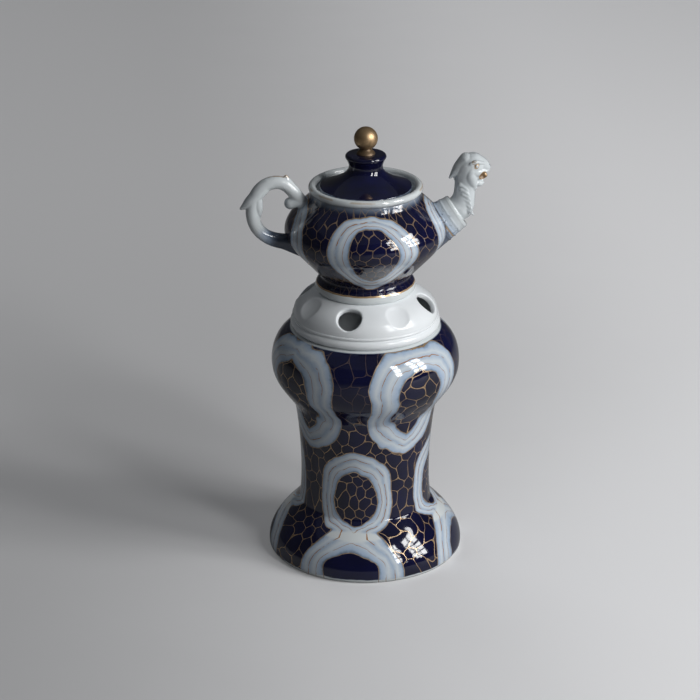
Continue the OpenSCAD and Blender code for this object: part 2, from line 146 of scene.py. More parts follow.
class Glazes(bpy.types.PropertyGroup):
    cobalt: colour("Cobalt", "Dark cobalt glaze", 0.0046, 0.0047, 0.0145)
    cobalt_thin: colour("Thin cobalt", "Cobalt where the glaze runs thin", 0.007, 0.009, 0.075)
    band: colour("Band", "Pale blue of the painted bands", 0.36, 0.46, 0.60)
    white: colour("White", "White glaze", 0.66, 0.70, 0.71)
    gilt: colour("Gilt", "Gilding", 0.66, 0.45, 0.25)
    rust: colour("Rust", "Worn lines on the painted bands", 0.36, 0.18, 0.07)
    cell: length("Cell", "Height of a gilt cell", 10.5)
    cells: number("Cells", "Gilt cells round the ground", 30)
    line: length("Gilt line", "Half width of a gilt line", 0.15)


class StageSettings(bpy.types.PropertyGroup):
    lens: FloatProperty(name="Lens", description="Focal length", default=135.26, unit="CAMERA")
    pitch: angle("Pitch", "Downward tilt of the camera", 22.8)
    bearing: angle("Bearing", "Turn of the camera from the front, towards the handle", 6)
    distance: length("Distance", "Level distance of the camera from the pot's axis", 1484.94)
    height: length("Height", "Height of the camera above the table", 754.1)
    aside: length("Aside", "Shift of the camera to the handle's side", 9.4)
    floor: colour("Floor", "Table and backdrop", 0.80, 0.80, 0.81)
    # Painted shade: the table and backdrop are painted darker on the side away from the window.
    painted_side_shade: share("Far side", "Tone of the table away from the window, as a share of the near side's", 0.62)
    bounce: share("Bounce", "Share of the table's light that reaches the object", 0.46)
    glow: share("Glow", "Brightness that the camera sees in the backdrop besides its light", 0.2)
    window: power("Window", "Power of the window light", 16)
    door: power("Door", "Power of the light in front", 8)
    rear: power("Rear", "Power of the light behind", 3)
    sky: FloatProperty(name="Sky", description="Strength of the room's light", default=0.1, min=0)


# Curves in the profile plane, in millimetres: radius and height

def bezier_at(p, t):
    p = np.asarray(p, float)
    return (1 - t) ** 3 * p[0] + 3 * (1 - t) ** 2 * t * p[1] + 3 * (1 - t) * t**2 * p[2] + t**3 * p[3]


def bezier(p, count=24):
    return bezier_at(p, np.linspace(0, 1, count + 1)[:, None])


def inside(p, wall, count=24, start=0.0):
    """The same curve set over to its left, which is inwards on a profile that is drawn upwards."""
    a, b, c = np.diff(np.asarray(p, float), axis=0)
    t = np.linspace(start, 1, count + 1)[:, None]
    way = (1 - t) ** 2 * a + 2 * (1 - t) * t * b + t**2 * c
    way /= np.linalg.norm(way, axis=1)[:, None]
    return bezier_at(p, t) + wall * np.stack([-way[:, 1], way[:, 0]], 1)


def arc(centre, radius, start, end, count=16):
    a = np.radians(np.linspace(start, end, count + 1))
    return np.asarray(centre, float) + radius * np.stack([np.cos(a), np.sin(a)], 1)


def soften(path, fillet, closed=True):
    """Rounds each real corner of an outline."""
    path = [np.asarray(p, float) for p in path]
    soft = []
    for i, here in enumerate(path):
        back = path[i - 1] - here
        on = path[(i + 1) % len(path)] - here
        far, near = np.linalg.norm(back), np.linalg.norm(on)
        at_end = not closed and i in (0, len(path) - 1)
        if at_end or min(far, near) < 1e-9 or bend(back / far, on / near) < CORNER:
            soft.append(here)
            continue
        cut = min(fillet, 0.45 * far, 0.45 * near)
        p, q = here + back / far * cut, here + on / near * cut
        for t in (0, 0.25, 0.5, 0.75, 1):
            soft.append((1 - t) ** 2 * p + 2 * (1 - t) * t * here + t**2 * q)
    return np.array(soft)


def bend(back, on):
    """Degrees by which a path turns between two directions."""
    return math.degrees(math.acos(np.clip(-(back @ on), -1, 1)))


def smooth_rows(rows, fine):
    """Rows of numbers with `fine` steps between each two, on a curve through them all."""
    rows = np.asarray(rows, float)
    ends = np.vstack([2 * rows[0] - rows[1], rows, 2 * rows[-1] - rows[-2]])
    out = []
    for i in range(len(rows) - 1):
        a, b, c, d = ends[i : i + 4]
        for s in np.arange(fine) / fine:
            curl = (2 * a - 5 * b + 4 * c - d) * s**2 + (3 * b - a - 3 * c + d) * s**3
            out.append(0.5 * (2 * b + (c - a) * s + curl))
    return np.array(out + [rows[-1]])


def polar(bearing, radius, height):
    """Points about the axis. A bearing of 0 is the back, where the arch is."""
    b = np.radians(bearing)
    return np.stack(np.broadcast_arrays(radius * np.sin(b), radius * np.cos(b), height), -1)


# Meshes

class Clay:
    """Gathers grids of points, in millimetres, and turns them into one closed smooth mesh."""

    def __init__(self):
        self.points = []
        self.faces = []
        self.finishes = []
        self.count = 0

    def grid(self, rows, wrap=False, finish=0):
        rows = np.asarray(rows, float)
        height, width = rows.shape[:2]
        start = self.count
        self.points.append(rows.reshape(-1, 3))
        self.count += height * width
        for i in range(height - 1):
            for k in range(width if wrap else width - 1):
                a = start + i * width + k
                b = start + i * width + (k + 1) % width
                self.faces.append((a, b, b + width, a + width))
                self.finishes.append(finish)

    def turn(self, path, columns=ROUND, finish=0, bearings=None, wrap=True):
        """A profile turned about the pot's axis, all round or through the given bearings."""
        path = np.asarray(path, float)
        if bearings is None:
            bearings = np.linspace(0, 360, columns, endpoint=False)
        self.grid(polar(bearings, path[:, :1], path[:, 1:]), wrap=wrap, finish=finish)

    def spin(self, turn):
        """Turns all that was gathered about the axis."""
        c, s = math.cos(turn), math.sin(turn)
        matrix = np.array([[c, s, 0], [-s, c, 0], [0, 0, 1]])
        self.points = [points @ matrix for points in self.points]

    def loft(self, rings, sides=40):
        """Rings of x, z, tilt, half depth and half width across the pot's middle plane."""
        rings = np.asarray(rings, float)
        a = np.linspace(0, 2 * math.pi, sides, endpoint=False)
        first, last = rings[0].copy(), rings[-1].copy()
        first[3:] = last[3:] = 0
        rows = []
        for x, z, tilt, depth, width in [first, *rings, last]:
            d = depth * np.cos(a)
            tilt = math.radians(tilt)
            rows.append(np.stack([x + d * math.sin(tilt), width * np.sin(a), z + d * math.cos(tilt)], 1))
        self.grid(rows, wrap=True)

    def limb(self, beads, flat=1.0):
        """A rounded limb through beads of x, y, z and radius, flattened across the middle plane."""
        beads = smooth_rows(beads, LIMB_STEPS)
        way = np.gradient(beads[:, :3], axis=0)
        way /= np.linalg.norm(way, axis=1)[:, None]
        tips = []
        for end, sense in ((0, -1), (-1, 1)):
            place, radius = beads[end, :3], beads[end, 3]
            tips.append([
                np.append(place + sense * radius * math.sin(s) * way[end], radius * math.cos(s))
                for s in LIMB_CAP
            ])
        beads = np.vstack([tips[0][::-1], beads, tips[1]])
        way = np.vstack([[way[0]] * len(LIMB_CAP), way, [way[-1]] * len(LIMB_CAP)])
        a = np.linspace(0, 2 * math.pi, LIMB_SIDES, endpoint=False)[:, None]
        rows = []
        for bead, t in zip(beads, way):
            side = np.cross(t, [0, 1, 0])
            side /= np.linalg.norm(side)
            other = np.cross(side, t)
            rows.append(bead[:3] + bead[3] * (np.cos(a) * side + flat * np.sin(a) * other))
        self.grid(rows, wrap=True)

    def piece(self, name):
        piece = blank(name)
        piece.data.from_pydata(np.vstack(self.points) * MM, [], self.faces)
        piece.data.polygons.foreach_set("material_index", self.finishes)
        face_outwards(piece.data)
        return piece


def blank(name):
    """A piece whose mesh is still empty."""
    piece = bpy.data.objects.new(name, bpy.data.meshes.new(name))
    bpy.context.scene.collection.objects.link(piece)
    return piece


def throw(name, path, columns=ROUND):
    """A piece thrown on the wheel."""
    clay = Clay()
    clay.turn(path, columns)
    return clay.piece(name)


def face_outwards(mesh):
    """Closes a mesh's seams and poles, turns its faces outwards and shades it smooth."""
    form = bmesh.new()
    form.from_mesh(mesh)
    bmesh.ops.remove_doubles(form, verts=form.verts, dist=3e-6)
    bmesh.ops.dissolve_degenerate(form, edges=form.edges, dist=1e-7)
    bmesh.ops.recalc_face_normals(form, faces=form.faces)
    form.to_mesh(mesh)
    form.free()
    mesh.shade_smooth()
    mesh.set_sharp_from_angle(angle=math.radians(CREASE))


def settle(piece, body, nodes, slot, *materials):
    """Hands a finished piece its materials and its place on the CAD frame."""
    slots = piece.data.materials
    for i, material in enumerate(materials):
        if i < len(slots):
            slots[i] = material
        else:
            slots.append(material)
    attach(piece, body)
    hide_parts(*nodes)
    return piece


# Geometry Nodes

class Nodes:
    """Makes nodes in a tree."""

    def add(self, kind, inputs=None, output=0, **settings):
        node = self.tree.nodes.new(kind)
        for key, value in settings.items():
            setattr(node, key, value)
        for key, value in (inputs or {}).items():
            plug(self.tree, node.inputs[key], value)
        return node.outputs[output]

    def math(self, operation, *values):
        return self.add("ShaderNodeMath", dict(enumerate(values)), operation=operation)


class Grower(Nodes):
    """A Geometry Nodes tree with named inputs that remakes a piece's mesh."""

    def __init__(self, name):
        self.tree = bpy.data.node_groups.new(name, "GeometryNodeTree")
        self.tree.interface.new_socket("Geometry", in_out="INPUT", socket_type="NodeSocketGeometry")
        self.tree.interface.new_socket("Geometry", in_out="OUTPUT", socket_type="NodeSocketGeometry")
        self.source = self.tree.nodes.new("NodeGroupInput")
        self.values = {}

    @property
    def given(self):
        """The piece's own mesh."""
        return self.source.outputs[0]

    def size(self, label, kind, value):
        """A named input, and the value that this piece gives it."""
        socket = self.tree.interface.new_socket(label, in_out="INPUT", socket_type="NodeSocket" + kind)
        self.values[socket.identifier] = value
        return self.source.outputs[label]

    def index(self):
        return self.add("GeometryNodeInputIndex")

    def point(self, x=0.0, y=0.0, z=0.0):
        return self.add("ShaderNodeCombineXYZ", {"X": x, "Y": y, "Z": z})

    def turned(self, x=0.0, y=0.0, z=0.0):
        return self.add("FunctionNodeEulerToRotation", {"Euler": self.point(x, y, z)})

    def between(self, place, start, end):
        inputs = {0: place, 4: start, 5: end}
        return self.add("ShaderNodeMix", inputs, output=1, data_type="VECTOR")

    def along(self, count):
        """0 at the first copy and 1 at the last."""
        return self.math("DIVIDE", self.index(), self.math("SUBTRACT", count, 1))

    def all_round(self, count):
        """Even turns about the axis, one for each copy."""
        return self.turned(z=self.math("DIVIDE", self.math("MULTIPLY", self.index(), 2 * math.pi), count))

    def circle(self, sides, radius):
        return self.add("GeometryNodeCurvePrimitiveCircle", {"Resolution": sides, "Radius": radius})

    def copies(self, instance, turn, count, place=(0, 0, 0), **more):
        points = self.add("GeometryNodePoints", {"Count": count, "Position": place})
        inputs = {"Points": points, "Instance": instance, "Rotation": turn, **more}
        return self.add("GeometryNodeInstanceOnPoints", inputs)

    def real(self, geometry):
        return self.add("GeometryNodeRealizeInstances", {"Geometry": geometry})

    def joined(self, *parts):
        node = self.tree.nodes.new("GeometryNodeJoinGeometry")
        for part in parts:
            self.tree.links.new(part, node.inputs[0])
        return node.outputs[0]

    def grow(self, piece, result, material):
        """Ends the tree, runs it on the piece and leaves the piece a plain mesh."""
        done = self.add("GeometryNodeSetMaterial", {"Geometry": self.real(result), "Material": material})
        out = self.tree.nodes.new("NodeGroupOutput")
        self.tree.links.new(done, out.inputs[0])
        modifier = piece.modifiers.new(self.tree.name, "NODES")
        modifier.node_group = self.tree
        for identifier, value in self.values.items():
            modifier[identifier] = value
        bake(piece)
        return piece


def bake(piece):
    """Turns a piece with modifiers into a plain mesh."""
    graph = bpy.context.evaluated_depsgraph_get()
    graph.update()
    mesh = bpy.data.meshes.new_from_object(piece.evaluated_get(graph), depsgraph=graph)
    piece.modifiers.clear()
    piece.data = mesh
    mesh.name = piece.name


def plug(tree, socket, value):
    value = getattr(value, "socket", value)
    if isinstance(value, bpy.types.NodeSocket):
        tree.links.new(value, socket)
    elif getattr(socket, "type", "") == "RGBA" and len(value) == 3:
        socket.default_value = (*value, 1)
    else:
        socket.default_value = value


# Painting

class Ink:
    """A number that changes over a painted surface, with ordinary arithmetic."""

    def __init__(self, paint, socket):
        self.paint = paint
        self.socket = socket

    def __add__(self, other):
        return self.paint.math("ADD", self, other)

    def __sub__(self, other):
        return self.paint.math("SUBTRACT", self, other)

    def __rsub__(self, other):
        return self.paint.math("SUBTRACT", other, self)

    def __mul__(self, other):
        return self.paint.math("MULTIPLY", self, other)

    def __truediv__(self, other):
        return self.paint.math("DIVIDE", self, other)

    __radd__ = __add__
    __rmul__ = __mul__

    def __abs__(self):
        return self.paint.math("ABSOLUTE", self)

    def __pow__(self, other):
        return self.paint.math("POWER", self, other)


class Paint(Nodes):
    """A procedural material, painted in millimetres about the pot's axis."""

    def __init__(self, name, turn=0.0):
        self.material = bpy.data.materials.new(name)
        self.material.use_nodes = True
        self.tree = self.material.node_tree
        self.shader = self.tree.nodes["Principled BSDF"]
        place = self.add("ShaderNodeTexCoord", output="Object")
        scale = (1 / MM, 1 / MM, 1 / MM)
        inputs = {"Vector": place, "Rotation": (0, 0, turn), "Scale": scale}
        self.place = self.add("ShaderNodeMapping", inputs)
        parts = self.tree.nodes.new("ShaderNodeSeparateXYZ")
        self.tree.links.new(self.place, parts.inputs[0])
        self.x, self.y, self.z = (Ink(self, socket) for socket in parts.outputs)

    def math(self, operation, *values):
        return Ink(self, super().math(operation, *values))

    def least(self, a, b):
        return self.math("MINIMUM", a, b)

    def most(self, a, b):
        return self.math("MAXIMUM", a, b)

    def root(self, value):
        return self.math("SQRT", value)

    def wrap(self, value, low, high):
        return self.math("WRAP", value, high, low)

    def degrees(self, x, y):
        return self.math("ARCTAN2", x, y) * math.degrees(1)

    def radius(self):
        return self.root(self.x**2 + self.y**2)

    def bearing(self):
        """Degrees round the axis from the front, towards the spout."""
        return self.degrees(self.x, self.y * -1)

    def fall(self, value, low, high):
        """1 up to `low` and 0 from `high` on."""
        return 1 - self.fade(value, low, high)

    def fade(self, value, low, high):
        """0 up to `low`, 1 from `high` on, and a soft step between."""
        inputs = {"Value": value, "From Min": low, "From Max": high}
        return Ink(self, self.add("ShaderNodeMapRange", inputs, interpolation_type="SMOOTHSTEP"))

    def noise(self, size, detail=2.0, seed=0.0, where=None):
        """Noise between about -1 and 1, in patches of that size."""
        inputs = {"Vector": where or self.place, "W": seed, "Scale": 1 / size, "Detail": detail}
        value = self.add("ShaderNodeTexNoise", inputs, noise_dimensions="4D")
        return Ink(self, value) * 4 - 2

    def curve(self, value, points):
        """A smooth curve through points of degrees and millimetres, read at `value` degrees."""
        span = max(x for x, _ in points)
        peak = max(y for _, y in points)
        node = self.tree.nodes.new("ShaderNodeFloatCurve")
        line = node.mapping.curves[0]
        for i, (x, y) in enumerate(points):
            if i < 2:
                line.points[i].location = (x / span, y / peak)
            else:
                line.points.new(x / span, y / peak)
        node.mapping.update()
        plug(self.tree, node.inputs["Value"], value * (1 / span))
        return Ink(self, node.outputs[0]) * peak

    def near(self, x, y, z, radius, soft):
        """1 within `radius` of a place, on either side of the middle plane."""
        gap = (self.x - x) ** 2 + (abs(self.y) - y) ** 2 + (self.z - z) ** 2
        return self.fall(self.root(gap), radius - soft, radius + soft)

    def mix(self, share_of_b, a, b):
        node = self.tree.nodes.new("ShaderNodeMix")
        node.data_type = "RGBA"
        for index, value in ((0, share_of_b), (6, a), (7, b)):
            plug(self.tree, node.inputs[index], value)
        return node.outputs[2]

    def ramp(self, value, stops):
        node = self.tree.nodes.new("ShaderNodeValToRGB")
        plug(self.tree, node.inputs[0], value)
        ends = node.color_ramp.elements
        while len(ends) < len(stops):
            ends.new(0.5)
        for end, (place, tint) in zip(ends, stops):
            end.position = place
            end.color = (*tint, 1)
        return node.outputs[0]

    def finish(self, tint, roughness, metallic=0.0, height=None, bump=0.1, coat=0.0):
        """Wires the shader. Height is in millimetres."""
        values = {"Base Color": tint, "Roughness": roughness, "Metallic": metallic, "Coat Weight": coat}
        for name, value in values.items():
            plug(self.tree, self.shader.inputs[name], value)
        self.shader.inputs["Coat Roughness"].default_value = 0.05
        self.shader.inputs["IOR"].default_value = 1.5
        if height is not None:
            inputs = {"Height": height * MM, "Strength": bump, "Distance": 1.0}
            normal = self.add("ShaderNodeBump", inputs)
            self.tree.links.new(normal, self.shader.inputs["Normal"])
        return self.material


def blend(a, b, of_a, of_b):
    """A colour mixed from shares of two others."""
    return tuple(of_a * x + of_b * y for x, y in zip(a, b))


def dim(colour, part):
    return tuple(part * c for c in colour)


def motif(paint, across, up, outline):
    """A painted reserve about its centre: how far outside its outer and its inner outline a point lies."""
    reach = paint.root(across**2 + up**2)
    bearing = abs(paint.degrees(across, up))
    return [reach - paint.curve(bearing, line) for line in outline]


def honeycomb(paint, across, up):
    """How far inside its cell a point lies, as a share of the cell's width."""
    row = math.sqrt(3) / 2
    a = (paint.wrap(across, -0.5, 0.5), paint.wrap(up, -row, row))
    b = (paint.wrap(across - 0.5, -0.5, 0.5), paint.wrap(up - row, -row, row))
    closer = paint.math("LESS_THAN", a[0] ** 2 + a[1] ** 2, b[0] ** 2 + b[1] ** 2)
    x, y = (abs(one * closer + two * (1 - closer)) for one, two in zip(a, b))
    return 0.5 - paint.math("SMOOTH_MAX", x, x * 0.5 + y * row, 0.22)


def crackle(paint, glaze, bearing, rise, d_in, share=1.0):
    """Gilt cells, smaller inside the reserves: how far inside its cell a point lies, in millimetres."""
    drift = paint.noise(17, detail=0, seed=1.0)
    lift = paint.noise(14, detail=0, seed=4.0)
    inner = paint.fall(d_in, -0.3, 0.3)
    webs = []
    for part in (share, 0.84 * share):
        tall = glaze.cell / MM * part
        across = bearing * (round(glaze.cells / part) / 360) + drift * 0.36
        webs.append(honeycomb(paint, across, rise * (1 / tall) + lift * 0.4) * (0.9 * tall))
    return webs[0] * (1 - inner) + webs[1] * inner


def stroke(paint, distance, width):
    """A painted line along the places where the distance is 0."""
    return paint.fall(abs(distance) / width, 0.7, 1.3)


def decorate(paint, glaze, cells, d_out, d_in, whiten, faint):
    """Cobalt ground with gilt cells, and banded reserves in it. Distances are in millimetres."""
    line = glaze.line / MM
    tremble = paint.noise(1.8, seed=3.0)
    worn = paint.noise(9, detail=3, seed=5.0)
    band = paint.fall(d_out, -0.5, 0.5) * paint.fade(d_in, -0.5, 0.5)
    pale = paint.most(band, whiten)
    depth = paint.noise(22, seed=8.0) * 0.5 + 0.5
    dark = paint.mix(depth * 0.5, glaze.cobalt, glaze.cobalt_thin)
    across = d_out * -1 / paint.most(d_in - d_out, 0.5) + tremble * 0.02 + worn * 0.04
    white, blue = glaze.white, glaze.band
    light, half = blend(white, blue, 0.78, 0.22), blend(white, blue, 0.1, 0.85)
    deep = dim(blue, 0.4)
    stops = [(0.0, deep), (0.07, blue), (0.25, light), (0.42, half), (0.6, light), (0.9, blue), (1.0, deep)]
    bands = paint.ramp(across, stops)
    pallor = paint.mix(paint.fade(whiten, 0.2, 0.9), paint.mix(band, half, bands), white)
    ground = paint.mix(pale, dark, pallor)
    thin = line + tremble * 0.06
    seen = paint.fade(worn, -0.75, -0.35)
    edge_out = stroke(paint, d_out, thin * 1.4) * (1 - whiten)
    edge_in = stroke(paint, d_in, thin * 1.25) * seen
    wander = tremble * 0.15 + worn * 0.25
    third = stroke(paint, d_in * 0.38 + d_out * 0.62 + wander, thin * 1.5) * paint.fade(worn, -0.3, 0.1)
    second = stroke(paint, d_in * 0.72 + d_out * 0.28 + wander, thin * 1.2) * paint.fade(worn, -0.5, 0.0)
    web = stroke(paint, cells, thin) * (1 - pale) * paint.fade(worn, -0.95, -0.55) * (1 - faint)
    on_band = paint.most(third, second * 0.8) * band
    gold = paint.most(paint.most(edge_out, edge_in), web)
    tarnish = paint.noise(5, seed=11.0) * 0.3 + 0.3
    tint = paint.mix(on_band, ground, glaze.rust)
    tint = paint.mix(gold, tint, paint.mix(tarnish, glaze.gilt, dim(glaze.gilt, 0.3)))
    domed = paint.fade(cells, 0, 2.6) * (1 - pale) * (1 - faint)
    return tint, gold, gold * 0.05 + domed * 0.24


def glaze_ripple(paint):
    """The slight unevenness of a fired glaze."""
    return paint.noise(26, detail=1, seed=21.0) * 0.12 + paint.noise(7, detail=2, seed=23.0) * 0.012


def gilt_glaze(paint, tint, gold, relief):
    """Glossy glaze with gilding and a slight relief on it."""
    roughness = gold * 0.2 + 0.07 + paint.noise(14, seed=9.0) * 0.015
    return paint.finish(tint, roughness, gold * 0.55, glaze_ripple(paint) + relief, bump=0.35, coat=0.35)


# Outer and inner outline of each painted reserve: degrees from its top, and millimetres from its centre
OVAL = (
    [(0, 33), (18, 30.5), (40, 29), (77, 23.2), (108, 23.8), (135, 26.5), (158, 24), (180, 23)],
    [(0, 18.2), (15, 17.6), (35, 16.4), (70, 13.4), (100, 14), (139, 15.4), (180, 17.7)],
)
ROSETTE = (
    [(0, 34), (15, 31), (39, 28.3), (55, 28.5), (72, 31), (90, 34), (180, 34)],
    [(0, 13), (30, 13.2), (55, 15), (75, 17.6), (90, 17.8), (180, 16)],
)
LOBED = (
    [
        (0, 33.5), (22, 36), (39, 40), (60, 38.5), (90, 32.5), (111, 37.4), (135, 38.8), (160, 36.5),
        (180, 37.5),
    ],
    [(0, 24.5), (14, 22), (30, 21.5), (52, 19.2), (90, 14.6), (122, 20), (136, 18), (151, 20.5), (180, 24)],
)
POT_OVAL = (
    [
        (0, 22.6), (15, 22.9), (30, 24.6), (50, 28), (75, 29), (90, 28.8), (115, 28), (140, 27), (160, 26.3),
        (180, 26),
    ],
    [
        (0, 16.8), (15, 17.1), (28, 17.4), (42, 17), (60, 16.2), (90, 15.2), (115, 15.2), (135, 16.4),
        (155, 17.4), (180, 18),
    ],
)
# Heights of their centres: two above the table, the last above the pot's seat
OVAL_HEIGHT, LOBED_HEIGHT, POT_OVAL_HEIGHT = 47, 113, 35.5


def stand_paint(glaze, sizes):
    """Ovals round the waist, lobed reserves round the shoulder and half rosettes on the foot."""
    paint = Paint("stand_glaze", -sizes.turn)
    floor = sizes.floor / MM
    radius, bearing = paint.radius(), paint.bearing()
    drift = paint.noise(13, detail=1, seed=1.0)
    wave = paint.noise(6.5, detail=1, seed=2.0)
    out_on_foot = paint.most(radius - FOOT_CURVE[3][0], 0)
    down_foot = paint.root(out_on_foot**2 + paint.most(floor - paint.z, 0) ** 2)
    climb = paint.most(paint.z, floor) - down_foot * paint.math("LESS_THAN", paint.z, floor)

    arc_low = paint.wrap(bearing, -45, 45) * radius * math.radians(1)
    shake = wave * 0.7 + drift * 0.5
    oval_out, oval_in = motif(paint, arc_low + shake * 0.4, climb - OVAL_HEIGHT + shake, OVAL)
    rose_out, rose_in = motif(paint, arc_low + shake * 0.3, climb + shake * 0.6, ROSETTE)
    high = paint.wrap(bearing - 45, -45, 45)
    high_out, high_in = motif(paint, high + shake * 0.6, paint.z - LOBED_HEIGHT + shake, LOBED)

    d_low = paint.math("SMOOTH_MIN", oval_out, rose_out, 3.0)
    d_out = paint.least(d_low, high_out)
    d_in = paint.least(paint.least(oval_in, rose_in), high_in)
    on_rim = paint.fall(paint.z + wave * 0.3, 2.2, 2.9)
    on_lip = paint.fade(paint.z, 146.4, 147.0)
    joined = paint.fall(abs(climb - 23) + abs(arc_low) * 0.12, 2.0, 6.0) * paint.fall(d_low, -1, 0)
    whiten = paint.most(paint.most(on_rim, on_lip), joined * 0.9)

    cells = crackle(paint, glaze, bearing, climb, d_in)
    on_shoulder = paint.fade(paint.z, 98, 108) * paint.fade(d_out, -1, 0) * 0.85
    faint = paint.most(on_shoulder, paint.fall(rose_in, -0.5, 0.5))
    return gilt_glaze(paint, *decorate(paint, glaze, cells, d_out, d_in, whiten, faint))


def pot_paint(glaze, seat):
    """Four reserves round the belly, a gilt line over the white foot, and a white neck and rim."""
    paint = Paint("pot_glaze")
    radius, bearing = paint.radius(), paint.bearing()
    up = paint.z - seat
    drift = paint.noise(12, detail=1, seed=1.0)
    wave = paint.noise(5.5, detail=1, seed=2.0)
    shake = wave * 0.4 + drift * 0.4
    side = paint.wrap(bearing, -45, 45) * 0.85 + shake * 0.5 + paint.fade(up, 36, 58) * 3
    d_out, d_in = motif(paint, side, up - POT_OVAL_HEIGHT + shake, POT_OVAL)
    on_neck = paint.fade(up + drift * 0.6, 57.5, 66.5)
    on_foot = paint.fall(up + wave * 0.25, 4.8, 5.6)
    inner_wall = paint.fall(radius, 29.4, 29.8)
    whiten = paint.most(paint.most(on_neck, on_foot), inner_wall * paint.fade(up, 50, 51))
    cells = crackle(paint, glaze, bearing, up, d_in, 0.75)
    faint = 0.85 - paint.fade(up, 8, 16) * 0.3
    tint, gold, relief = decorate(paint, glaze, cells, d_out, d_in, whiten, faint)
    worn = paint.noise(10, detail=3, seed=31.0)
    foot_line = paint.fall(abs(up - 5.2 + wave * 0.2), 0.3, 0.55) * paint.fade(worn, -0.6, -0.2)
    off_rim = abs(radius - 33.6) + abs(up - 65.6) * 0.8
    rim_line = paint.fall(off_rim, 0.4, 1.0) * paint.fade(worn, -0.2, 0.3)
    line = paint.most(foot_line, rim_line * 0.45)
    tint = paint.mix(line, tint, glaze.gilt)
    return gilt_glaze(paint, tint, paint.most(gold, line), relief * 1.8)


def pooled_white(paint, glaze, size, part):
    """White glaze that is a little bluer in patches of that size."""
    pool = paint.noise(size, detail=2, seed=12.0) * 0.5 + 0.5
    return paint.mix(pool, glaze.white, blend(glaze.white, glaze.band, part, 0.1))


def white_paint(glaze):
    """White glaze with a few pinholes, mixed once for all the pieces that share it."""
    ready = bpy.data.materials.get("white_glaze")
    if ready:
        return ready
    paint = Paint("white_glaze")
    tint = pooled_white(paint, glaze, 30, 0.86)
    speck = paint.add("ShaderNodeTexVoronoi", {"Vector": paint.place, "Scale": 1 / 9}, feature="F1")
    pin = paint.fall(Ink(paint, speck), 0.018, 0.034)
    tint = paint.mix(pin * 0.6, tint, (0.16, 0.14, 0.12))
    roughness = paint.noise(12, seed=13.0) * 0.02 + 0.09
    height = glaze_ripple(paint) - pin * 0.05
    return paint.finish(tint, roughness, 0.0, height, bump=0.35, coat=0.3)


def cobalt_paint(glaze):
    """Plain glossy cobalt, thinner and bluer where it runs off an edge."""
    paint = Paint("cobalt_glaze")
    depth = paint.noise(14, detail=2, seed=14.0) * 0.3 + 0.2
    tint = paint.mix(depth, glaze.cobalt, glaze.cobalt_thin)
    worn_edge = paint.fade(paint.radius() + paint.noise(3, seed=15.0) * 0.2, 27.4, 27.9)
    tint = paint.mix(worn_edge * 0.5, tint, glaze.band)
    roughness = paint.noise(12, seed=16.0) * 0.015 + 0.06
    return paint.finish(tint, roughness, 0.0, glaze_ripple(paint), bump=0.35, coat=0.4)


def gilding_paint(glaze, neck_top):
    """Aged satin gilding, rubbed brown on the neck."""
    paint = Paint("gilding")
    patch = paint.noise(4.5, detail=4, seed=17.0)
    rubbed = paint.fade(patch, 0.1, 0.9)
    on_neck = paint.fall(paint.z + patch * 0.6, neck_top - 1.0, neck_top + 1.2)
    tint = paint.mix(rubbed, dim(glaze.gilt, 0.72), dim(glaze.gilt, 0.4))
    tint = paint.mix(on_neck * 0.75, tint, (0.05, 0.032, 0.02))
    roughness = rubbed * 0.14 + 0.42
    height = paint.noise(0.7, detail=2, seed=18.0) * 0.012
    return paint.finish(tint, roughness, 0.85 - on_neck * 0.35, height, bump=0.4)


def biscuit_paint():
    """Unglazed ring that stands on the table."""
    paint = Paint("biscuit")
    grain = paint.noise(0.5, detail=3, seed=19.0)
    dirt = paint.fade(paint.noise(7, detail=3, seed=20.0), -0.2, 0.9)
    tint = paint.mix(dirt * 0.6, (0.62, 0.60, 0.55), (0.34, 0.31, 0.27))
    return paint.finish(tint, 0.75, 0.0, grain * 0.02, bump=0.5)


def cork_paint():
    paint = Paint("cork")
    grain = paint.noise(1.6, detail=4, seed=41.0)
    pore = paint.fade(paint.noise(0.9, detail=2, seed=42.0), 0.5, 0.9)
    tint = paint.mix(grain * 0.4 + 0.4, (0.46, 0.28, 0.14), (0.27, 0.15, 0.07))
    tint = paint.mix(pore, tint, (0.09, 0.05, 0.03))
    return paint.finish(tint, 0.85, 0.0, grain * 0.05 - pore * 0.15, bump=0.6)


def tin_paint():
    paint = Paint("tin")
    radius = paint.radius()
    rings = paint.add("ShaderNodeCombineXYZ", {"X": radius})
    brush = paint.noise(0.35, detail=2, seed=43.0, where=rings)
    soot = paint.fall(radius + paint.noise(2, seed=44.0), 2.4, 6.0)
    tint = paint.mix(soot * 0.7, (0.55, 0.55, 0.53), (0.06, 0.05, 0.045))
    return paint.finish(tint, brush * 0.05 + 0.34 + soot * 0.3, 0.9 - soot * 0.5, brush * 0.006, bump=0.4)


def cotton_paint(char_from):
    paint = Paint("cotton")
    fibre = paint.noise(0.3, detail=3, seed=45.0)
    char = paint.fade(paint.z + paint.noise(0.8, seed=46.0) * 0.6, char_from, char_from + 1.6)
    tint = paint.mix(fibre * 0.3 + 0.4, (0.74, 0.70, 0.58), (0.52, 0.46, 0.34))
    tint = paint.mix(char, tint, (0.012, 0.010, 0.009))
    return paint.finish(tint, 0.9, 0.0, fibre * 0.05, bump=0.6)


# Stand

